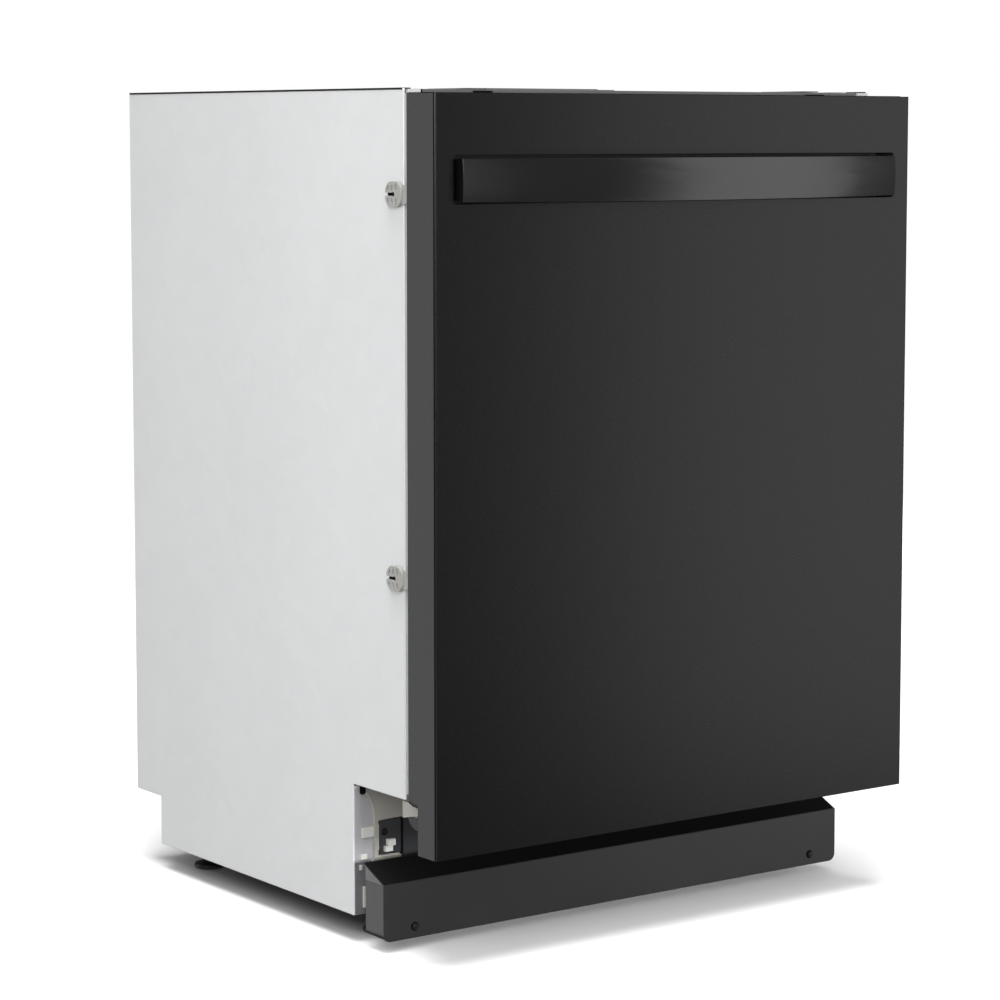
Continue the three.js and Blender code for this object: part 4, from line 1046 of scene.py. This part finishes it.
def silverware_basket():
    """An open lattice basket with three cells and a solid band at its rim."""
    x0, x1, y0, y1, z0, z1, cells = 160.4, 235.6, 240.4, 539.6, 216.0, 330.0, 3
    bars = Shape()
    walls = [min(max(y0 + k * (y1 - y0) / cells, y0 + 1.2), y1 - 1.2) for k in range(cells + 1)]
    for z, tall in ((z0, 5.0), (z0 + 52, 3.0), (z1 - 9, 9.0)):
        bars.block(x0, x0 + 2.4, y0, y1, z, z + tall, 0.6)
        bars.block(x1 - 2.4, x1, y0, y1, z, z + tall, 0.6)
        for y in walls:
            bars.block(x0, x1, y - 1.2, y + 1.2, z, z + tall, 0.6)
    slats = 26
    for k in range(slats + 1):
        y = y0 + 1.4 + (y1 - y0 - 2.8) * k / slats
        for x in (x0 + 0.2, x1 - 2.2):
            bars.block(x, x + 2.0, y - 1.1, y + 1.1, z0 + 1, z1 - 1, 0.4)
    for j in range(7):
        x = x0 + 2 + (x1 - x0 - 4) * j / 6
        for y in walls:
            bars.block(x - 1.0, x + 1.0, y - 0.9, y + 0.9, z0 + 1, z1 - 1, 0.4)
        bars.block(x - 1.1, x + 1.1, y0 + 0.4, y1 - 0.4, z0 + 0.2, z0 + 2.4, 0.4)
    for k in range(25):
        y = y0 + 4 + (y1 - y0 - 8) * k / 24
        bars.block(x0 + 0.4, x1 - 0.4, y - 0.9, y + 0.9, z0 + 0.3, z0 + 2.2, 0.3)
    bars.piece("silverware_basket_lattice", "silverware_basket", "grey_moulding", ("silverware_basket",))


# ---------- inside of the door
def door_liner():
    """A pressed stainless pan: a flat border that meets the seal and a raised, round-cornered middle."""
    half, face, back = 299.0, 49.0, 47.0
    low, high = 166.2, 842.0

    def ring(x, z0, z1, radius, y):
        return [(u, y, v) for u, v in rounded(-x, x, z0, z1, radius, 10)]

    loops = [ring(half, low, high, 2.5, back), ring(half, low, high, 2.5, face - 0.5),
             ring(half - 0.5, low + 0.5, high - 0.5, 2.5, face)]
    rise, draft = 12.0, 9.0
    for k in range(13):
        t = k / 12
        ease = t * t * (3 - 2 * t)
        loops.append(ring(255 - draft * t, 205 + draft * t, 800 - draft * t, 36 - 6 * t, face + rise * ease))
    pan = Shape().rings(loops)
    cuts = Shape().block(284, 310, 20, 70, 160, 207)
    cuts.block(-310, -284, 20, 70, 160, 207)
    cuts.block(-106, 106, 50, 70, 334, 466)
    cuts.block(-19, 19, 40, 70, 829, 850)
    pan.piece("door_liner_pan", "door", "stainless_steel", ("door_inner_panel",), cuts, smooth=28)
    apron = Shape().block(-284, 284, 29.2, 48.5, 166.2, 168, 0.4)
    apron.block(-284, 284, 29.2, 31, 116.2, 168, 0.4)
    apron.piece("door_liner_apron", "door", "stainless_steel")
    seal = Shape().tube([(-250, 50.4, 186), (250, 50.4, 186)], 2.4, sides=12)
    seal.piece("door_foot_seal", "door", "rubber")


CAP_AXIS = (66.0, 400.0)


def dispenser():
    """The detergent cup in the door, its lid with a knuckle and ribs, its catch, and the rinse-aid cap."""
    housing = Shape().sweep("y", rounded(-105, 105, 335, 465, 9, 8), 52, 64.9)
    cuts = Shape().sweep("y", rounded(-95, 25, 347, 453, 7, 8), 54.6, 80)
    cuts.rod("y", CAP_AXIS, 62.8, 80, 20, 48)
    replaced = ("dispenser_housing",)
    housing.piece("dispenser_body", "door", "grey_moulding", replaced, cuts, edge=0.8, segments=3)
    lid = Shape().sweep("y", rounded(-99, 26.8, 346.4, 453.6, 7, 8), 65.5, 68.4, 0.8, 3)
    lid.piece("dispenser_lid_plate", "dispenser_lid", "grey_moulding", ("dispenser_lid",))
    knuckle = Shape().rod("z", (-99, 68), 346.5, 453.5, 2.3, 24, 0.5)
    knuckle.sweep("y", rounded(-40, 6, 392, 408, 3), 68.2, 69.6, 0.5)
    for x in (-80, -66, -52):
        knuckle.block(x - 1, x + 1, 68.2, 69.4, 356, 444, 0.4)
    knuckle.piece("dispenser_lid_knuckle", "dispenser_lid", "grey_moulding")
    button = Shape().sweep("y", rounded(32, 46, 380, 420, 4), 64.7, 67.6, 0.8, 3)
    button.piece("dispenser_catch", "door", "grey_moulding")
    body = [(0, 63.2), (16.4, 63.2), (17, 65.4), (17, 71.2), (16, 72), (0, 72)]
    cap = Shape().turned("y", CAP_AXIS, body, 48)
    cap.sweep("y", rounded(53, 79, 396.8, 403.2, 2.4), 71.5, 76.8, 0.7, 3)
    for centre in corner_arc(CAP_AXIS, 16.7, 0, 345, 23):
        cap.rod("y", centre, 65.8, 71.0, 0.7, 8)
    cap.piece("rinse_aid_cap_turned", "rinse_aid_cap", "black_plastic", ("rinse_aid_cap",))


SPRING = {"x": 292.0, "z": 173.0, "front": 112.0, "rear": 398.0, "anchor": 470.0, "radius": 2.7, "turns": 66}


def door_spring(side):
    """A coil of wire between two straight cords: one to the hinge arm's drum, one to the anchor."""
    x, z, front, rear, radius = (SPRING[k] for k in ("x", "z", "front", "rear", "radius"))
    per_turn = 10
    steps = SPRING["turns"] * per_turn
    helix = []
    for k in range(steps + 1):
        a = 2 * pi * k / per_turn
        helix.append((x + radius * cos(a), front + (rear - front) * k / steps, z + radius * sin(a)))
    coil = Shape().tube(helix, 0.8, sides=6)
    coil.tube([(x + 1, 62.2, 168.2), (x, front, z)], 1.0, sides=8)
    coil.tube([(x, rear - 1, z), (x, SPRING["anchor"], z)], 1.0, sides=8)
    coil.flipped(side == "left")
    coil.piece(f"door_spring_{side}_coil", "cabinet", "spring_steel", (f"door_spring_{side}",), smooth=60)


def hinges():
    for side in ("left", "right"):
        refined(f"hinge_arm_{side}", "dark_steel", 0.4).data.materials[0] = FINISHES["dark_plastic"]
        door_spring(side)
    refined("door_latch", "black_plastic", 0.8, 3)
    refined("latch_strike", "dark_steel", 0.4)


def cabinet_screws():
    """Zinc screws that hold the rear and top sheets."""
    heads = Shape()
    for x in (-270.0, 270.0):
        for z in (130.0, 330.0, 560.0, 800.0):
            heads.rod("y", (x, z), 587.8, 589.8, 3.8, 24, 0.8)
    for x in (-250.0, -90.0, 90.0, 250.0):
        heads.rod("z", (x, 575.0), 847.6, 849.4, 3.8, 24, 0.8)
        heads.rod("z", (x, 100.0), 847.6, 849.4, 3.8, 24, 0.8)
    heads.piece("cabinet_screws", "cabinet", "galvanised_steel", material=SCREW_ZINC)


base()
tub()
tub_gasket()
heating_element()
feed_tube()
filter_area()
lower_rack()
upper_rack()
rails()
spray_arm("lower_spray_arm", bottom=186, top=200, reach=232, opens_up=False)
spray_arm("upper_spray_arm", bottom=494, top=508, reach=225, opens_up=True)
silverware_basket()
door_liner()
dispenser()
hinges()
cabinet_screws()
